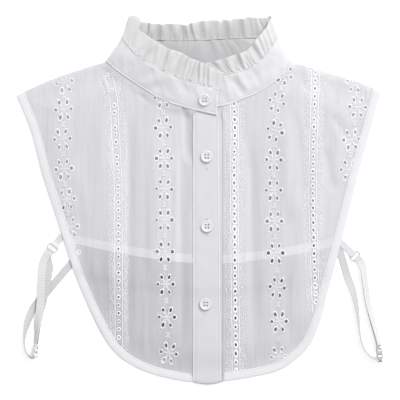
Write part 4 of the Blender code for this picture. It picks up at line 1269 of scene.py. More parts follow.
def make_leaves(side, outline, thread, trees):
    """The padded satin leaves of one front's flowers and the diamonds between them."""
    rows = marked_points(shown_rows(leaf_rows(), side, outline, LEAF_MARGIN))
    leaves = laid_on(grown(trees["leaves"], rows, Thread=thread), cloth_top)
    return finish_piece(f"satin_leaves_{side}", leaves, thread)


def make_embroidery(side, outline, thread, trees):
    """The open stitching of one front: rings, rails and the stitched strips."""
    petals = enlarged(shown_rows(petal_rows(), side, outline, RING_MARGIN), RING_SIZE)
    dots = enlarged(shown_rows(dot_rows(), side, outline, RING_MARGIN), DOT_RING_SIZE)
    flat = [grown(trees["rings"], marked_points(petals), Thread=thread),
            grown(trees["rings"], marked_points(dots), Height=DOT_RING_HEIGHT, Thread=thread,
                  **{"Width Share": DOT_RING_SHARE})]
    for number, column in enumerate(c for c in DOTTED if c.side == side):
        flat.append(grown(trees["pins"], strip_mesh(column_strips(column), outline),
                          Seed=5 + number, Thread=thread))
        rails = []
        for way in (-1, 1):
            rail = shifted(smooth_line(column.line, 1.5), way * RAIL_OFFSET)
            rail[:, 0] += waves(rail[:, 1], rail[:, 1] * 0, [RAIL_WOBBLE], way)
            rail = rail[inside(rail, outline)]
            rails.append(np.column_stack([rail, np.zeros(len(rail))]))
        flat.append(grown(trees["cord"], line_mesh(rails), Thread=thread))
    return merged(f"embroidery_{side}", [laid_on(mesh, cloth_top) for mesh in flat], thread)


# Bindings, placket and stand

# Share of the width and of the thickness, round the strip from its outer to its inner edge and back
BINDING_SECTION = [
    (0, 0.45), (0.03, 0.82), (0.1, 1), (0.3, 1.04), (0.55, 1), (0.76, 0.97), (0.815, 0.78),
    (0.87, 0.96), (0.94, 0.92), (0.985, 0.7), (1, 0.35), (0.97, 0), (0.5, 0), (0.04, 0),
]
PLACKET_SECTION = [
    (0, 0.4), (0.012, 0.85), (0.035, 1.08), (0.06, 1.04), (0.078, 0.84), (0.096, 0.98), (0.18, 1),
    (0.28, 1), (0.39, 1), (0.5, 1), (0.61, 1), (0.72, 1), (0.82, 1), (0.904, 0.98), (0.922, 0.84),
    (0.94, 1.02), (0.965, 1.05), (0.988, 0.85), (1, 0.4), (0.97, 0), (0.5, 0), (0.03, 0),
]


BINDING_RIPPLE = Waves(0.16, 6.0, 5.0, 41)
# Height of the back's cloth over the surface, and its crinkle
BACK_HEIGHT = 0.62
BACK_CRINKLE = Waves(0.14, 12.0, 34.0, 7)
BACK_STEP = 5.0
PLACKET_SLANTED = Waves(0.2, 8.0, 17.0, 50)
PLACKET_UPRIGHT = Waves(0.1, 4.0, 9.0, 51)


def strip_loft(name, outer, inner, floor, thickness, material, ripple=()):
    """A folded strip between two rails, with a rounded and stitched section."""
    rings = []
    shares = np.array(BINDING_SECTION)
    for a, b, length in zip(outer, inner, walked(outer)):
        flat = a + (b - a) * shares[:, :1]
        wave = waves(flat[:, 0] * 0 + length, shares[:, 0] * 12, ripple)
        height = floor(*flat.T) + thickness * shares[:, 1] + wave * np.minimum(shares[:, 1], 1)
        rings.append(np.column_stack([flat, height]))
    return loft(name, rings, material)


def make_front_binding(side, material):
    rails, _ = side_rails(side, [0.0, BINDING_WIDTH])
    outer, inner = (resampled(rail, 160) for rail in rails)
    return strip_loft(f"binding_front_{side}_cloth", outer, inner, front_floor, BINDING_THICK,
                      material, [BINDING_RIPPLE])


def flat_floor(x, y):
    return np.zeros(np.shape(x))


def make_back_bindings(material):
    """Binding on the two sides and the hem of the back."""
    made = []
    corners = {}
    for side in ("left", "right"):
        rails, _ = side_rails(side, [BACK_INSET, BACK_INSET + BINDING_WIDTH], BACK_CORNER_Y)
        outer, inner = (resampled(rail, 80) for rail in rails)
        made.append(strip_loft(f"binding_back_{side}_cloth", outer, inner, flat_floor, CLOTH, material))
        (low,), _ = side_rails(side, [BACK_INSET], BACK_CORNER_Y - CORNER_DROP)
        (high,), _ = side_rails(side, [BACK_INSET], BACK_CORNER_Y - SEAM_GAP)
        corners[side] = (low[-1][0], high[-1][0])
    t = np.linspace(0, 1, 120)
    low_x, high_x = (corners["left"][i] + (corners["right"][i] - corners["left"][i]) * t for i in (0, 1))
    low = np.column_stack([low_x, hem_of_back(low_x)])
    high_y = np.minimum(hem_of_back(high_x) + BINDING_WIDTH, BACK_CORNER_Y - SEAM_GAP)
    high_y[[0, -1]] = BACK_CORNER_Y - SEAM_GAP
    high = np.column_stack([high_x, high_y])
    made.append(strip_loft("binding_back_hem_cloth", low, high, flat_floor, CLOTH, material))
    return made


def make_back(cloth):
    """The plain sheer back, flat on the surface."""
    inset = BACK_INSET + BINDING_WIDTH - TUCK
    (left,), left_top = side_rails("left", [inset], BACK_CORNER_Y - 2)
    (right,), right_top = side_rails("right", [inset], BACK_CORNER_Y - 2)
    x = np.linspace(left[-1][0] + 3, right[-1][0] - 3, 90)
    hem = np.column_stack([x, np.minimum(hem_of_back(x) + BINDING_WIDTH - TUCK, BACK_CORNER_Y - 2)])
    neck = neckline(NECK_PLACE["fold_left"], NECK_PLACE["fold_right"], TUCK)
    neck = neck[(neck[:, 0] > left_top[-1][0] + 3) & (neck[:, 0] < right_top[-1][0] - 3)]
    left_top = left_top[::-1]
    left_top = left_top[left_top[:, 0] > left[0][0] + 2]
    right_top = right_top[right_top[:, 0] < right[0][0] - 2]
    outline = np.vstack([left, hem, right[::-1], right_top, neck[::-1], left_top])
    places, faces = cut_cloth(outline, [], BACK_STEP)
    heights = BACK_HEIGHT + waves(*places.T, [BACK_CRINKLE])
    piece = make_piece("back_cloth", np.column_stack([places, heights]), faces.tolist(), cloth)
    thicken(piece, SHEER_THICK, -1.0)
    return piece, outline


def placket_floor(x, y):
    return front_floor(x, y) + CLOTH + SEAM_GAP


def placket_wrinkle(x, y):
    """Shallow creases of the firm placket, stronger towards the neck."""
    near_neck = 0.6 + 0.8 * smooth((y - 20) / 60)
    slanted = waves(x + 0.35 * y, y - 0.3 * x, [PLACKET_SLANTED])
    return near_neck * (slanted + waves(x, y, [PLACKET_UPRIGHT]))


def make_placket(material):
    """The buttonhole placket on top and the button stand under it."""
    band_neck = neckline(NECK_PLACE["overlap_end"], NECK_PLACE["front_left_2"], -TUCK)
    stand_neck = neckline(NECK_PLACE["front_right_2"], NECK_PLACE["under_end"], -TUCK)
    made = []
    for name, x_left, x_top, x_hem, hem_y, droop, neck, floor, thick in (
            ("placket_cloth", PLACKET_LEFT, PLACKET_RIGHT_TOP, PLACKET_RIGHT_HEM, STAND_HEM,
             PLACKET_HEM - STAND_HEM, band_neck, placket_floor, PLACKET_THICK),
            ("placket_under_cloth", STAND_LEFT, STAND_RIGHT, STAND_RIGHT, STAND_HEM, 0.0,
             stand_neck, front_floor, CLOTH)):
        shares = np.array(PLACKET_SECTION)
        rings = []
        for t in np.linspace(0, 1, 140):
            x_right = x_top + (x_hem - x_top) * t
            x = x_left + (x_right - x_left) * shares[:, 0]
            tops = np.array([height_on(neck, value) for value in x])
            ends = hem_y + droop * (1 - (2 * shares[:, 0] - 1) ** 2)
            y = tops + (ends - tops) * t
            closing = 1 - 0.45 * smooth((t - 0.993) / 0.007)
            wave = placket_wrinkle(x, y) * np.minimum(shares[:, 1], 1)
            rings.append(np.column_stack([x, y, floor(x, y) + (thick * shares[:, 1] + wave) * closing]))
        made.append(loft(name, rings, material))
    return made


# Band and frill

NeckFrame = namedtuple("NeckFrame", "bottom seam edge along band_out frill_out")


def neck_frame(places):
    """Bottom, seam and edge points at places round the neck, and the outward directions."""
    rows = on_curve(NECK_ROWS, places)
    ahead = on_curve(NECK_ROWS, np.minimum(places + 0.02, len(NECK) - 1))
    behind = on_curve(NECK_ROWS, np.maximum(places - 0.02, 0))
    bottom, seam, edge = rows[:, 0:3], rows[:, 3:6], rows[:, 6:9]
    along = unit((ahead - behind)[:, 3:6])
    return NeckFrame(bottom, seam, edge, along, unit(np.cross(seam - bottom, along)),
                     unit(np.cross(edge - seam, along)))


def on_band(neck, up, off):
    """Points at a share of the band's height and a distance out of its middle surface."""
    return neck.bottom + (neck.seam - neck.bottom) * up + neck.band_out * off


# Share of the band's height and distance from its middle surface, up the outside and down the inside
BAND_SECTION = [
    (0, 0.25), (0.008, 0.75), (0.03, 1.05), (0.05, 0.95), (0.066, 0.55), (0.085, 0.72), (0.16, 0.78),
    (0.24, 0.82), (0.32, 0.85), (0.4, 0.88), (0.48, 0.9), (0.56, 0.88), (0.64, 0.85), (0.72, 0.82),
    (0.8, 0.78), (0.88, 0.74), (0.93, 0.66), (0.948, 0.42), (0.965, 0.8), (0.985, 0.9), (1, 0.5),
    (0.99, -0.3), (0.93, -0.62), (0.82, -0.7), (0.68, -0.7), (0.54, -0.7), (0.4, -0.7), (0.25, -0.7),
    (0.1, -0.7), (0.02, -0.55), (0, -0.2),
]
BAND_SLANTED = Waves(0.85, 8.0, 17.0, 61)
BAND_CROSSED = Waves(0.34, 4.2, 8.0, 62)
BAND_PUCKER = Waves(1.0, 1.6, 1.0, 63)
# Places round the neck between which the back of the band is gathered over more of its height
BACK_START = 6.5
BACK_END = 11.2
# The rolled fold at the band's front end and the groove behind it: height, place and width
END_ROLL = (0.4, 0.9, 0.9)
END_GROOVE = (-0.3, 2.8, 0.7)
FRONT_HEIGHT = 4.0
BAND_LOWEST = 0.15


def make_band(material):
    """The stand band in one length, folded along its lower edge and stitched."""
    places, lengths = even_places(NECK_ROWS[:, 3:6], 1.4)
    neck = neck_frame(places)
    up, off = np.array(BAND_SECTION).T
    rings = []
    for bottom, seam, out, place, length in zip(
            neck.bottom, neck.seam, neck.band_out, places, lengths):
        s = np.full(len(up), length)
        v = up * np.linalg.norm(seam - bottom)
        swell = waves(s + 0.7 * v, v - 0.15 * s, [BAND_SLANTED])
        swell += waves(s - 0.6 * v, v, [BAND_CROSSED])
        flat = bottom + (seam - bottom) * up[:, None]
        if bottom[2] > FRONT_HEIGHT:
            swell += crease_lift(flat[:, 0], flat[:, 1], BAND_CREASES)
        swell *= smooth(up * 9) * smooth((1 - up) * 9)
        at_back = smooth((place - BACK_START) / 0.6) * (1 - smooth((place - BACK_END) / 0.6))
        gathered = smooth((up - 0.72 + 0.5 * at_back) / (0.25 + 0.4 * at_back))
        pucker = (0.3 + 0.35 * at_back) * waves(s, v * 0, [BAND_PUCKER]) * gathered
        roll = sum(height * math.exp(-((length - middle) / width) ** 2)
                   for height, middle, width in (END_ROLL, END_GROOVE))
        outside = (swell + pucker + roll) * (off > 0)
        lining = (0.5 * swell + pucker) * (off < 0)
        rings.append(flat + out * (off + outside + lining)[:, None])
    rings = np.array(rings)
    rings[:, :, 2] = np.maximum(rings[:, :, 2], BAND_LOWEST)
    return loft("band_cloth", rings, material)


# Folds of the frill: places round the neck at its seam and at its edge, width before and after the
# fold and how far it stands out
Fold = namedtuple("Fold", "seam edge before after throw")
FOLDS = [
    Fold(0.12, 0.1, 2.5, 2.5, 0.7), Fold(0.46, 0.62, 1.8, 2.6, 2.1), Fold(0.64, 0.84, 2.4, 1.6, 1.8),
    Fold(0.8, 1.02, 1.6, 2.2, 2.7), Fold(1.28, 1.28, 2.8, 1.7, 3.2), Fold(1.44, 1.46, 2, 1.6, 2),
    Fold(1.62, 1.66, 2.2, 2.6, 2.4), Fold(2.14, 1.98, 5, 2, 3.4), Fold(2.46, 2.5, 4, 3, 1.1),
    Fold(2.82, 2.92, 4.6, 1.8, 3.5), Fold(3.22, 3.55, 3.6, 3.4, 1.6), Fold(3.72, 3.8, 3.8, 2, 2.9),
    Fold(4.16, 4.1, 4, 3, 1.5), Fold(4.55, 4.62, 3, 3.4, 2), Fold(5.05, 5.1, 3.8, 3.6, 1),
    Fold(5.6, 5.6, 3, 3, 0.5), Fold(6.3, 6.28, 3, 3, 0.5), Fold(6.75, 6.8, 2.6, 3, 0.5),
    Fold(7.18, 7.22, 3, 2.2, -1.6), Fold(7.62, 7.62, 2.4, 4, -2.1), Fold(7.98, 7.98, 4.4, 1.2, -3.4),
    Fold(8.38, 8.34, 4, 3.4, -1.5), Fold(8.72, 8.66, 3.6, 1.2, -3.3), Fold(8.9, 8.84, 1.6, 3.6, -2),
    Fold(9.2, 9.18, 4.2, 2, -2.1), Fold(9.54, 9.54, 4, 1.8, -2), Fold(9.88, 9.8, 4.2, 1.1, -3.6),
    Fold(10.3, 10.24, 4.6, 1.2, -3.4), Fold(10.7, 10.68, 3.6, 3, -1.5), Fold(11.2, 11.24, 3, 3, -1.2),
    Fold(11.7, 11.74, 3, 3, 1.3), Fold(12.3, 12.28, 3, 3, 1.5), Fold(12.9, 12.84, 2.6, 3, 1.4),
    Fold(13.4, 13.36, 2.4, 3.2, 2.1), Fold(13.84, 13.72, 1.8, 3.4, 2.7),
    Fold(14.32, 14.36, 4.4, 2, 3.2), Fold(14.9, 14.82, 3.4, 4.6, 1.2), Fold(15.62, 15.3, 1.6, 2.6, 2.8),
    Fold(16.38, 15.98, 3, 4.4, 2.1), Fold(16.9, 16.6, 3.4, 3, 1.1), Fold(17.4, 17.3, 3, 3, 1.2),
]
# How far the frill's free edge rises above its even line, by place round the neck
EDGE_RISE = [
    (0, 0), (1.3, 0.4), (1.5, -0.6), (2, 0.8), (2.9, 0.6), (3.1, -0.6), (3.8, 0.8), (4.6, -0.3),
    (4.82, 0), (4.92, 6.5), (5, 8.8), (5.1, 9.6), (5.3, 8), (5.6, 4.4), (5.85, 1.2), (6.3, 0.5),
    (7, 0.4), (7.6, -0.6), (7.95, -0.9), (8.05, 0.2), (8.4, 0), (8.68, -1.6), (8.8, 0.6), (9.18, 2.4),
    (9.5, 1), (9.54, -1.6), (9.62, 1.8), (9.78, -0.4), (9.84, 1.4), (10.2, 0.6), (10.26, 2.2),
    (10.7, 2.2), (11.2, 1), (11.7, 0.8), (12, -0.8), (12.3, 0.3), (12.8, 0), (13.4, 0.6), (14.3, 0.8),
    (14.9, -0.4), (15.3, 0.6), (16, 0), (17, 0.3), (18, 0),
]
FRILL_THICK = 0.5
FRILL_ROWS = 16
FRILL_PUCKER = Waves(1.25, 1.6, 30.0, 71)
FRILL_RIPPLE = Waves(0.75, 4.6, 14.0, 72)
# Radii of the raised cords, in metres
CORD_RADIUS = 0.00036
SEAM_CORD_RADIUS = 0.0005
FRILL_LOWEST = 0.4
# Height above which the frill's hem takes the painted highlight
FRONT_EDGE_HEIGHT = 9.0


def frill_points():
    """Rows of points up the gathered frill, from its seam to its free edge."""
    places, lengths = even_places(NECK_ROWS[:, 3:6], 0.75)
    neck = neck_frame(places)
    rise = np.interp(places, *np.array(EDGE_RISE).T)
    tall = np.linalg.norm(neck.edge - neck.seam, axis=1)
    up = unit(neck.edge - neck.seam)
    calm = 1 - 0.5 * smooth((places - NECK_PLACE["front_right_2"]) / 1.2)
    grid = []
    for row in range(FRILL_ROWS + 1):
        v = row / FRILL_ROWS
        out_throw = np.zeros(len(places))
        slide = np.zeros(len(places))
        for fold in FOLDS:
            middle = np.interp(fold.seam + (fold.edge - fold.seam) * v, places, lengths)
            narrow = 0.5 + 0.5 * v
            off = lengths - middle
            width = np.where(off < 0, fold.before, fold.after) * narrow
            bell = np.exp(-(off / width) ** 2)
            reach = 0.22 + 0.78 * smooth(v * 1.15)
            out_throw += fold.throw * reach * bell
            slide += 0.35 * fold.throw * reach * bell * np.sign(fold.after - fold.before)
        height = v * tall
        pucker = np.exp(-height / 4.2) * smooth(height / 0.9)
        out_throw += pucker * waves(lengths, height, [FRILL_PUCKER])
        out_throw += smooth(v) * waves(lengths, height, [FRILL_RIPPLE])
        point = neck.seam + up * (FRILL_START * (1 - v) + (tall + rise * v * v) * v)[:, None]
        grid.append(point + neck.frill_out * (out_throw * calm)[:, None]
                    + neck.along * (slide * calm)[:, None])
    grid = np.array(grid)
    grid[:, :, 2] = np.maximum(grid[:, :, 2], FRILL_LOWEST)
    return grid


def make_frill(material):
    """The gathered frill as one thin sheet."""
    grid = frill_points()
    rows, columns = grid.shape[:2]
    faces = [(r * columns + c, r * columns + c + 1, (r + 1) * columns + c + 1, (r + 1) * columns + c)
             for r in range(rows - 1) for c in range(columns - 1)]
    piece = make_piece("ruffle_cloth", grid.reshape(-1, 3), faces, material)
    thicken(piece, FRILL_THICK, 0.0)
    return piece


def make_frill_edge(material, pressed, trees):
    """The frill's rolled hem, with a painted highlight where it stands high along the front, and its
    turning along the back's seam.
    """
    edge = frill_points()[-1]
    front = edge[:, 2] > FRONT_EDGE_HEIGHT
    lines = [run for run in np.split(edge, np.flatnonzero(np.diff(front)) + 1) if len(run) > 1]
    meshes = [grown(trees["cord"], line_mesh([run]), Radius=CORD_RADIUS,
                    Thread=pressed if run[0][2] > FRONT_EDGE_HEIGHT else material) for run in lines]
    back = neck_frame(np.linspace(NECK_PLACE["side_left_back"], NECK_PLACE["side_right_back"], 120))
    turning = line_mesh([back.seam - back.band_out * 0.5])
    meshes.append(grown(trees["cord"], turning, Radius=SEAM_CORD_RADIUS, Thread=material))
    return merged("ruffle_edge", meshes, material)


# Buttons

BUTTON_PROFILE = [
    (0, 0.76), (0.30, 0.76), (0.56, 0.76), (0.64, 0.77), (0.70, 0.81), (0.75, 0.89), (0.80, 0.96),
    (0.86, 1), (0.92, 0.97), (0.97, 0.86), (1, 0.66), (0.985, 0.40), (0.94, 0.18), (0.86, 0.04),
    (0.78, 0), (0, 0),
]
# The way of a strand of thread across a button, up out of one hole and down into the next
STRAND = [
    (-1.3, -0.1), (-1.25, 1.2), (-0.95, 1.78), (0, 1.84), (0.95, 1.78), (1.25, 1.2), (1.3, -0.1),
]
STRAND_SLIP = 0.17
BUTTON_THREAD_RADIUS = 0.00017


def button_blank(material):
    """A turned four-hole button about the origin."""
    bm = bmesh.new()
    corners = [bm.verts.new((x * BUTTON_RADIUS * MM, 0, z * BUTTON_THICK * MM)) for x, z in BUTTON_PROFILE]
    for a, b in zip(corners, corners[1:]):
        bm.edges.new((a, b))
    bmesh.ops.spin(bm, geom=bm.edges[:] + bm.verts[:], cent=(0, 0, 0), axis=(0, 0, 1),
                   angle=2 * math.pi, steps=56, use_merge=True)
    bmesh.ops.remove_doubles(bm, verts=bm.verts[:], dist=1e-6)
    bmesh.ops.recalc_face_normals(bm, faces=bm.faces[:])
    mesh = bpy.data.meshes.new("button_blank")
    bm.to_mesh(mesh)
    bm.free()
    blank = finish_piece("button_blank", mesh, material)
    cutters = []
    for sx, sy in ((-1, -1), (1, -1), (1, 1), (-1, 1)):
        cutter_bm = bmesh.new()
        place = Vector((sx, sy, 0)) * BUTTON_HOLE_SPREAD * MM
        bmesh.ops.create_cone(cutter_bm, cap_ends=True, segments=16, radius1=BUTTON_HOLE_RADIUS * MM,
                              radius2=BUTTON_HOLE_RADIUS * MM, depth=4 * BUTTON_THICK * MM,
                              matrix=Matrix.Translation(place))
        cutter_mesh = bpy.data.meshes.new("button_cutter")
        cutter_bm.to_mesh(cutter_mesh)
        cutter_bm.free()
        cutter = finish_piece("button_cutter", cutter_mesh, material)
        cut = blank.modifiers.new("hole", "BOOLEAN")
        cut.operation = "DIFFERENCE"
        cut.object = cutter
        cutters.append(cutter)
    pierced = evaluated(blank)
    for item in [blank, *cutters]:
        bpy.data.objects.remove(item)
    return pierced


def button_seats():
    """Each button's name and its place and turn as a matrix in millimetres."""
    neck = neck_frame(np.array([BAND_BUTTON_ALONG]))
    spot = Vector(on_band(neck, BAND_BUTTON_UP, BAND_THICK / 2 + SEAM_GAP)[0])
    out = Vector(neck.band_out[0])
    seats = [("button_1", Matrix.Translation(spot) @ out.to_track_quat("Z", "Y").to_matrix().to_4x4())]
    for place in PLACKET_BUTTONS:
        floor = float(placket_floor(np.array(place.x), np.array(place.y)))
        seat = Vector((place.x, place.y, floor + PLACKET_THICK + SEAM_GAP))
        seats.append((place.name, Matrix.Translation(seat)))
    return seats


def in_metres(matrix):
    placed = matrix.copy()
    placed.translation *= MM
    return placed


def make_buttons(plastic, thread, trees):
    """Four buttons sewn on with two strands across their holes, and the thread as one piece."""
    pierced = button_blank(plastic)
    made, strands = [], []
    for name, seat in button_seats():
        mesh = pierced.copy()
        mesh.transform(in_metres(seat))
        made.append((name, finish_piece(f"{name}_turned", mesh, plastic)))
        for x in (-BUTTON_HOLE_SPREAD, BUTTON_HOLE_SPREAD):
            for slip in (-STRAND_SLIP, STRAND_SLIP):
                strands.append([tuple(seat @ Vector((x + slip, y, z))) for y, z in STRAND])
    sewing = grown(trees["cord"], line_mesh(strands), Radius=BUTTON_THREAD_RADIUS, Thread=thread)
    return made, finish_piece("button_thread", sewing, thread)


# Sewing

# Rows of stitches on the band: share of its height and distance out of its middle surface
BAND_SEWING = ((0.066, 0.66), (0.955, 0.56))
# Rows of stitches on the placket, as a share of its width, and where they start under the band
PLACKET_SEWING = (0.078, 0.922)
SEWING_TOP = 88.0
PRESSED_TOP = 85.0


def on_placket(x, y):
    return placket_floor(x, y) + PLACKET_THICK + placket_wrinkle(x, y)


def sewing_lines():
    """Lines of stitches on the band, the placket and the bindings."""
    lines = []
    places, _ = even_places(NECK_ROWS[:, 3:6], 2.0)
    neck = neck_frame(places)
    for up, off in BAND_SEWING:
        lines.append(on_band(neck, up, off))
    t = np.linspace(0, 1, 140)
    for share in PLACKET_SEWING:
        right = PLACKET_RIGHT_TOP + (PLACKET_RIGHT_HEM - PLACKET_RIGHT_TOP) * t
        x = PLACKET_LEFT + (right - PLACKET_LEFT) * share
        y = SEWING_TOP + (STAND_HEM + 1.0 - SEWING_TOP) * t
        lines.append(np.column_stack([x, y, on_placket(x, y) - 0.16]))
    for side in ("left", "right"):
        (line,), _ = side_rails(side, [BINDING_WIDTH * 0.815])
        line = line[1:-1]
        height = front_floor(line[:, 0], line[:, 1]) + BINDING_THICK * 0.82
        lines.append(np.column_stack([line, height]))
    x = np.linspace(-124, 134, 130)
    hem = np.column_stack([x, hem_of_back(x) + BINDING_WIDTH * 0.8, np.full(len(x), 0.8)])
    lines.append(hem)
    return lines


def make_pressed_edges(material, trees):
    """Pressed folds: the band's lower edge and front end, the frill's end and the placket's sides, in pale
    poplin as a painted highlight.
    """
    front = [np.linspace(0, NECK_PLACE["side_left_front"], 90),
             np.linspace(NECK_PLACE["side_right_front"], len(NECK) - 1, 90)]
    lines = []
    for places in front:
        lines.append(on_band(neck_frame(places), 0.02, 0.75))
    end = neck_frame(np.array([0.0]))
    lines.append(on_band(end, np.linspace(0.02, 0.98, 20)[:, None], 0.6) - end.along * 0.1)
    lines.append(frill_points()[:, 0])
    down = np.linspace(0.0, 1.0, 160)
    y = PRESSED_TOP + (PLACKET_HEM + 4.0 - PRESSED_TOP) * down
    right = PLACKET_RIGHT_TOP + (PLACKET_RIGHT_HEM - PLACKET_RIGHT_TOP) * down
    for x in (PLACKET_LEFT + 0.5 + 0 * down, right - 0.5):
        lines.append(np.column_stack([x, y, placket_floor(x, y) + PLACKET_THICK * 0.95]))
    edges = grown(trees["cord"], line_mesh(lines), Radius=CORD_RADIUS, Thread=material)
    return finish_piece("pressed_edges", edges, material)


def make_sewing(thread, trees):
    sewing = grown(trees["stitch"], line_mesh(sewing_lines()), Thread=thread)
    return finish_piece("sewing", sewing, thread)


def make_buttonholes(thread, trees):
    """Overcast upright buttonholes, mostly hidden by their buttons."""
    rows = [(place.x, place.y + shift, 0.0, BUTTONHOLE_HALF_WIDTH, BUTTONHOLE_HALF_LENGTH)
            for place, shift in zip(PLACKET_BUTTONS, BUTTONHOLE_SHIFT)]
    mesh = grown(trees["rings"], marked_points(rows), Height=BUTTONHOLE_HEIGHT, Thread=thread)
    return finish_piece("buttonholes", laid_on(mesh, on_placket), thread)


# Straps and fittings

# Share of the half width and half thickness round the elastic's section
ELASTIC_SECTION = [
    (-1, 0), (-0.97, 0.7), (-0.84, 1), (-0.72, 0.82), (-0.5, 0.96), (-0.25, 0.84), (0, 0.98),
    (0.25, 0.84), (0.5, 0.96), (0.72, 0.82), (0.84, 1), (0.97, 0.7), (1, 0), (0.97, -0.7), (0.84, -1),
    (0.5, -0.9), (0, -0.94), (-0.5, -0.9), (-0.84, -1), (-0.97, -0.7),
]
# Share of its full thickness that the elastic shows, and where it is drawn round a bar
SINGLE_PLY = 0.9
TURNED_PLY = 0.8
RIB_PITCH = 1.85
WAVE_PERIOD = math.pi / 10


def strap_frame(strap, step):
    """Middle points of an elastic's run, with its sideways and outward directions."""
    rows = np.array([(row.x, row.y, 0.0, row.roll, row.lift, row.across) for row in strap.rows], float)
    places, lengths = even_places(rows[:, :3], step)
    middles, sides, outs = [], [], []
    for place in places:
        x, y, _, roll, lift, across = on_curve(rows, place)
        ahead = Vector(on_curve(rows, min(place + 0.05, len(rows) - 1))[:3])
        behind = Vector(on_curve(rows, max(place - 0.05, 0))[:3])
        along = (ahead - behind).normalized()
        turn = Matrix.Rotation(math.radians(roll), 3, along)
        side = turn @ Vector((-along.y, along.x, 0))
        out = turn @ Vector((0, 0, 1))
        height = (lift + SEAM_GAP / 4 + ELASTIC_THICK / 2 * abs(out.z) + ELASTIC_WIDTH / 2 * abs(side.z))
        middles.append(Vector((x, y, height)) + side * across
                       + out * strap.layer * (ELASTIC_THICK + LAYER_GAP))
        sides.append(side)
        outs.append(out)
    return np.array(middles), np.array(sides), np.array(outs), lengths


def ribbon_loft(name, middles, sides, outs, lengths, width, thickness, material):
    """A ribbed flat elastic with its length in its UV map."""
    section = np.array(ELASTIC_SECTION)
    rings = [m + s * section[:, :1] * width / 2 + o * section[:, 1:] * thickness / 2
             for m, s, o in zip(middles, sides, outs)]
    rings = np.array(rings)
    rings[:, :, 2] = np.maximum(rings[:, :, 2], 0.0)
    piece = loft(name, rings, material)
    around = len(section)
    layer = piece.data.uv_layers.new(name="along")
    for loop in piece.data.loops:
        ring = min(loop.vertex_index // around, len(lengths) - 1)
        layer.data[loop.index].uv = (lengths[ring] / RIB_PITCH * WAVE_PERIOD, loop.vertex_index % around)
    return piece


def make_straps(upper, elastic_back):
    """The six runs of elastic, each with the line that it follows; the lower ones take a darker elastic
    that is painted shade.
    """
    made = []
    for strap in STRAPS:
        middles, sides, outs, lengths = strap_frame(strap, 1.5)
        piece = ribbon_loft(f"{strap.name}_elastic", middles, sides, outs, lengths, ELASTIC_WIDTH,
                            ELASTIC_THICK * SINGLE_PLY, upper.get(strap.name, elastic_back))
        made.append((strap.name, piece, middles))
    return made


# The tab's length hidden under the binding, and its rise there over the elastic that it crosses
TAB_TUCK = 3.2
TAB_RISE = 0.8
TAB_POINTS = 16
# Where the tab's line lies over its middle, and its points that lead into the turn round the ring
TAB_LIFT = (0, 0, 0.15)
TAB_LEAD = slice(-6, -3)


def make_tabs(elastic):
    made = []
    for tab in TABS:
        ends = np.array([(tab.x_start, tab.y_start), (tab.x_end, tab.y_end)])
        length = np.hypot(*(ends[1] - ends[0]))
        along = (ends[1] - ends[0]) / length
        steps = np.linspace(-TAB_TUCK, length, TAB_POINTS)
        heights = CLOTH / 2 + TAB_RISE * (1 - np.linspace(0, 1, TAB_POINTS))
        middles = np.column_stack([ends[0] + along * steps[:, None], heights])
        side = np.array([-along[1], along[0], 0])
        up = np.array([0, 0, 1.0])
        piece = ribbon_loft(f"{tab.name}_elastic", middles, [side] * TAB_POINTS, [up] * TAB_POINTS,
                            steps, TAB_WIDTH, CLOTH * SINGLE_PLY, elastic)
        made.append((tab.name, piece, middles + TAB_LIFT))
    return made


# How elastic turns round a bar: distance outwards from the bar and height above its middle
WRAP = [(0.9, 1.0), (0.3, 1.2), (-0.6, 1.2), (-1.4, 0.6), (-1.5, -0.2), (-1.1, -0.9)]
CROSSING = [(1.9, -0.6), (1.2, 0.0), (0.95, 0.75), (0.4, 1.1), (-0.4, 1.1), (-0.95, 0.75), (-1.2, 0.0),
            (-1.9, -0.6)]
LOOP_WIDTH = 7.3
RING_BAR = 2.9
SLIDER_BAR = 5.15
SLIDER_RAIL = 1.3
SLIDER_ROUND = 0.25


def turned_round(name, start, wrap, matrix, elastic):
    """A short turn of elastic from its run's last points round a bar of a fitting."""
    sideways = np.array(matrix.to_3x3() @ Vector((1, 0, 0)))
    turns = [tuple(matrix @ Vector((0, y, z))) for y, z in wrap]
    line = smooth_line(np.array([tuple(p) for p in start] + turns), 0.4)
    line[:, 2] = np.maximum(line[:, 2], ELASTIC_THICK / 2)
    along = np.gradient(line, axis=0)
    sides = unit(sideways - along * (along @ sideways / (along ** 2).sum(axis=1))[:, None])
    outs = unit(np.cross(sides, along))
    return ribbon_loft(name, line, sides, outs, walked(line), LOOP_WIDTH, ELASTIC_THICK * TURNED_PLY,
                       elastic)


def make_loops(elastic, runs, tab_lines):
    """The turns of elastic round the bars of the rings and sliders."""
    made = []
    for place in RINGS + SLIDERS:
        side = place.name.split("_")[1]
        matrix = fitting_matrix(place)
        over = runs[f"strap_over_{side}"]
        back = runs[f"strap_return_{side}"]
        if np.hypot(back[-1][0] - place.x, back[-1][1] - place.y) < LOOP_WIDTH * 2:
            back = back[::-1]
        if place in RINGS:
            bar, near, far = RING_BAR, tab_lines[side], over[1::-1]
        else:
            bar, near, far = SLIDER_BAR, over[-2:], back[1::-1]
            made.append(turned_round(f"{place.name}_crossing", [], CROSSING, matrix, elastic))
        for word, start, way in (("near", near, 1), ("far", far, -1)):
            path = [(way * (bar + y), z) for y, z in WRAP]
            made.append(turned_round(f"{place.name}_{word}_turn", start, path, matrix, elastic))
    return made


def fitting_matrix(place):
    """A fitting's place, turn and roll, in millimetres."""
    turn = Matrix.Rotation(math.radians(place.turn), 4, "Z")
    roll = Matrix.Rotation(math.radians(place.roll), 4, "Y")
    return Matrix.Translation(Vector((place.x, place.y, place.z))) @ turn @ roll


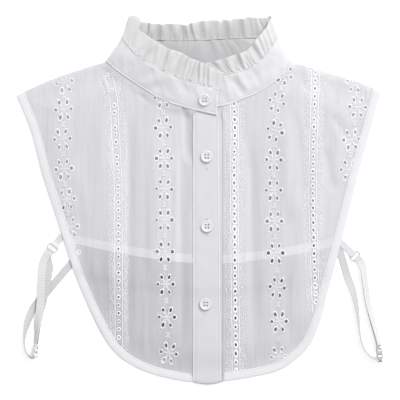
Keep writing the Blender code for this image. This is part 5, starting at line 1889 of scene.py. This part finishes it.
def rounded_box(width, length, corner, steps):
    loop = []
    for number, (sx, sy) in enumerate(((1, 1), (-1, 1), (-1, -1), (1, -1))):
        centre = Vector((sx * (width / 2 - corner), sy * (length / 2 - corner)))
        for k in range(steps + 1):
            angle = math.radians(90 * (number + k / steps))
            loop.append(centre + Vector((math.cos(angle), math.sin(angle))) * corner)
    return loop


def add_spline(curve, loop):
    spline = curve.splines.new("POLY")
    spline.points.add(len(loop) - 1)
    for point, place in zip(spline.points, loop):
        point.co = (place.x * MM, place.y * MM, 0, 1)
    spline.use_cyclic_u = True


def curve_piece(name, curve, matrix, material):
    """A curve made a mesh in its place."""
    maker = placed("maker", curve)
    mesh = evaluated(maker)
    bpy.data.objects.remove(maker)
    bm = bmesh.new()
    bm.from_mesh(mesh)
    bmesh.ops.remove_doubles(bm, verts=bm.verts[:], dist=1e-6)
    bm.to_mesh(mesh)
    bm.free()
    mesh.transform(matrix)
    piece = finish_piece(name, mesh, material)
    piece.data.set_sharp_from_angle(angle=math.radians(50))
    return piece


def make_fittings(material):
    """A wire ring and a flat slider for each strap."""
    made = []
    for place in RINGS + SLIDERS:
        curve = bpy.data.curves.new(place.name, "CURVE")
        if place in RINGS:
            word = "wire"
            curve.dimensions = "3D"
            curve.bevel_depth = RING_WIRE * MM
            curve.bevel_resolution = 5
            trim = 2 * RING_WIRE
            add_spline(curve, rounded_box(place.width - trim, place.length - trim, 1.4, 8))
        else:
            word = "frame"
            curve.dimensions = "2D"
            curve.fill_mode = "BOTH"
            curve.extrude = (SLIDER_THICK / 2 - SLIDER_ROUND) * MM
            curve.bevel_depth = SLIDER_ROUND * MM
            curve.bevel_resolution = 3
            trim = 2 * SLIDER_ROUND
            add_spline(curve, rounded_box(place.width - trim, place.length - trim, 1.5, 6))
            slot_length = (place.length - 3 * SLIDER_RAIL) / 2
            slot = rounded_box(place.width - 2 * SLIDER_RAIL + trim, slot_length + trim, 0.7, 4)
            for side in (-1, 1):
                middle = Vector((0, side * (SLIDER_RAIL + slot_length) / 2))
                add_spline(curve, [p + middle for p in slot])
        piece = curve_piece(f"{place.name}_{word}", curve, in_metres(fitting_matrix(place)), material)
        made.append((place.name, piece))
    return made


# Camera, light and floor

PHOTO_WIDTH = 400.0
CAMERA_HEIGHT = 3.2
CAMERA_X = 1.4
CAMERA_Y = 0.4
SENSOR = 36.0
LIGHT_PLACE = (1.15, 1.8, 2.0)
LIGHT_SIZE = 0.9
LIGHT_POWER = 64.0
SKY_POWER = 0.70
FLOOR_HALF = 3000.0
FLOOR_Z = -0.05


def make_camera():
    """Straight above, so that one pixel of the photo is one millimetre."""
    data = bpy.data.cameras.new("camera")
    data.sensor_width = SENSOR
    data.lens = SENSOR * CAMERA_HEIGHT / (PHOTO_WIDTH * MM)
    camera = placed("camera", data)
    camera.location = (CAMERA_X * MM, CAMERA_Y * MM, CAMERA_HEIGHT)
    bpy.context.scene.camera = camera


def make_light():
    """One large soft light from the upper right, turned to the collar."""
    data = bpy.data.lights.new("key", "AREA")
    data.shape = "DISK"
    data.size = LIGHT_SIZE
    data.energy = LIGHT_POWER
    light = placed("key", data)
    light.location = LIGHT_PLACE
    light.rotation_euler = (-light.location).to_track_quat("-Z", "Y").to_euler()


# The part of the floor that the cloth covers, as a rounded oblong
COVERED_X = 8.0
COVERED_Y = -40.0
COVERED_HALF_WIDTH = 125.0
COVERED_HALF_LENGTH = 132.0
COVERED_POWER = 3.0
COVERED_RIM = (0.9, 1.08)
FLOOR_PAINTED_LIGHT = 0.35


def floor_material():
    """White surface that glows a little round the collar, to keep the shadows as faint as shown."""
    material, tree, shader, place = base_material("floor", (0.93, 0.93, 0.93), 0.9)
    shader.inputs["Specular IOR Level"].default_value = 0.1
    shader.inputs["Emission Color"].default_value = (1.0, 1.0, 1.0, 1.0)
    x, y, _ = axes(tree, place)
    shares = []
    for value, middle, half in ((x, COVERED_X, COVERED_HALF_WIDTH), (y, COVERED_Y, COVERED_HALF_LENGTH)):
        off = math_node(tree, "ABSOLUTE", minus(tree, value, middle * MM))
        shares.append(math_node(tree, "POWER", math_node(tree, "DIVIDE", off, half * MM), COVERED_POWER))
    # Painted light: the floor glows round the collar to bleach the shadows there, and not where the cloth
    # covers it
    glow = ramp(tree, plus(tree, *shares), *COVERED_RIM, FLOOR_PAINTED_LIGHT)
    tree.links.new(glow, shader.inputs["Emission Strength"])
    return material


def make_studio():
    """A pale floor, the light and an even fill."""
    world = bpy.data.worlds.new("studio")
    world.use_nodes = True
    sky = world.node_tree.nodes["Background"].inputs
    sky["Color"].default_value = (1.0, 1.0, 1.0, 1.0)
    sky["Strength"].default_value = SKY_POWER
    bpy.context.scene.world = world
    make_light()
    bpy.context.scene.view_settings.view_transform = "Standard"
    corners = [(x * FLOOR_HALF, y * FLOOR_HALF, FLOOR_Z) for x, y in ((-1, -1), (1, -1), (1, 1), (-1, 1))]
    floor = make_piece("floor", corners, [(0, 1, 2, 3)], floor_material())


def shown_area(piece):
    """The area of one face of a piece of cloth, in square metres."""
    mesh = evaluated(piece)
    area = sum(face.area for face in mesh.polygons) / 2
    bpy.data.meshes.remove(mesh)
    return area


def strip_cut(piece, width):
    """Divide a piece's shown area by a strip width in millimetres, and keep nothing of it."""
    shown_area(piece) / (width * MM)
    return piece


def panel_cut(piece):
    """Hand a flat panel back as it is."""
    return piece


def dress(piece, slot, *nodes):
    """Let a piece ride with the collar and stand for the model's nodes; the finish's name is not used."""
    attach(piece, "root")
    if nodes:
        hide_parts(*nodes)
    return piece


def main():
    make_camera()
    make_studio()
    sheer = sheer_front_material()
    sheer_back = sheer_back_material()
    # The band and the frill take painted shade in the hollow of the neck, the frill also on its right
    poplin = poplin_material("band_poplin", (0.695, 0.689, 0.714), 0.28)
    gathered = poplin_material("ruffle_poplin", (0.706, 0.702, 0.704), 0.2, 0.1)
    # Pale poplin for the edge cords: a painted highlight
    pressed = poplin_material("pressed_poplin", (0.86, 0.855, 0.87))
    bias = poplin_material("bias_poplin", (0.735, 0.73, 0.757))
    firm = poplin_material("firm_poplin", (0.637, 0.632, 0.66))
    satin = thread_material("satin_thread", (0.93, 0.925, 0.94))
    padding = thread_material("padded_satin", (0.675, 0.671, 0.692))
    sewing_thread = thread_material("sewing_thread", (0.68, 0.685, 0.70))
    plastic = button_material()
    elastic = elastic_material("elastic", (0.71, 0.706, 0.72))
    # Painted shade: the right over strap turns to the light, so its elastic is painted a little greyer
    elastic_lit = elastic_material("elastic_lit", (0.68, 0.676, 0.69))
    # Painted shade: the under and return strands are painted darker than the strands over them
    elastic_back = elastic_material("elastic_back", (0.61, 0.606, 0.622))
    coated = fitting_material()
    trees = {"rings": satin_ring_tree(), "leaves": satin_leaf_tree(), "pins": pin_stitch_tree(),
             "cord": raised_cord_tree(), "stitch": running_stitch_tree()}
    straps = make_straps({"strap_over_left": elastic, "strap_over_right": elastic_lit}, elastic_back)
    fittings = make_fittings(coated)
    tabs = make_tabs(elastic)
    for name, piece in fittings:
        dress(piece, "strap_fittings", name)
    for name, piece, _ in tabs:
        dress(piece, "elastic", name)
    for piece in make_loops(elastic, {name: middles for name, _, middles in straps},
                            {name.split("_")[1]: middles[TAB_LEAD] for name, _, middles in tabs}):
        dress(piece, "elastic")
    for name, piece, middles in straps:
        dress(piece, "elastic", name)
    back, back_outline = make_back(sheer_back)
    dress(back, "sheer_cotton", "back_panel")
    panel_cut(back)
    for name, piece in zip(("binding_back_left", "binding_back_right", "binding_back_hem"),
                           make_back_bindings(bias)):
        dress(piece, "plain_poplin", name)
        strip_cut(piece, BINDING_CUT)
    for side in ("left", "right"):
        front, outline = make_front(side, sheer)
        dress(front, "sheer_cotton", f"front_{side}")
        stitched = [dress(make_embroidery(side, outline, satin, trees), "sheer_cotton"),
                    dress(make_leaves(side, outline, padding, trees), "sheer_cotton")]
        panel_cut(front)
        binding = dress(make_front_binding(side, bias), "plain_poplin", f"binding_front_{side}")
        strip_cut(binding, BINDING_CUT)
    placket, stand = make_placket(firm)
    buttonholes = dress(make_buttonholes(padding, trees), "plain_poplin")
    dress(stand, "plain_poplin", "placket_under")
    strip_cut(stand, STAND_RIGHT - STAND_LEFT)
    dress(placket, "plain_poplin", "placket")
    strip_cut(placket, PLACKET_RIGHT_HEM - PLACKET_LEFT)
    band = dress(make_band(poplin), "plain_poplin", "band_front_left", "band_back", "band_front_right")
    strip_cut(band, BAND_HEIGHT)
    frill = dress(make_frill(gathered), "plain_poplin", "ruffle_front_left", "ruffle_back",
                  "ruffle_front_right")
    frill_edge = dress(make_frill_edge(gathered, pressed, trees), "plain_poplin")
    strip_cut(frill, FRILL_HEIGHT)
    dress(make_pressed_edges(pressed, trees), "plain_poplin")
    buttons, button_thread = make_buttons(plastic, sewing_thread, trees)
    for name, piece in buttons:
        dress(piece, "button_plastic", name)
    dress(button_thread, "plain_poplin")
    dress(make_sewing(sewing_thread, trees), "plain_poplin")


main()
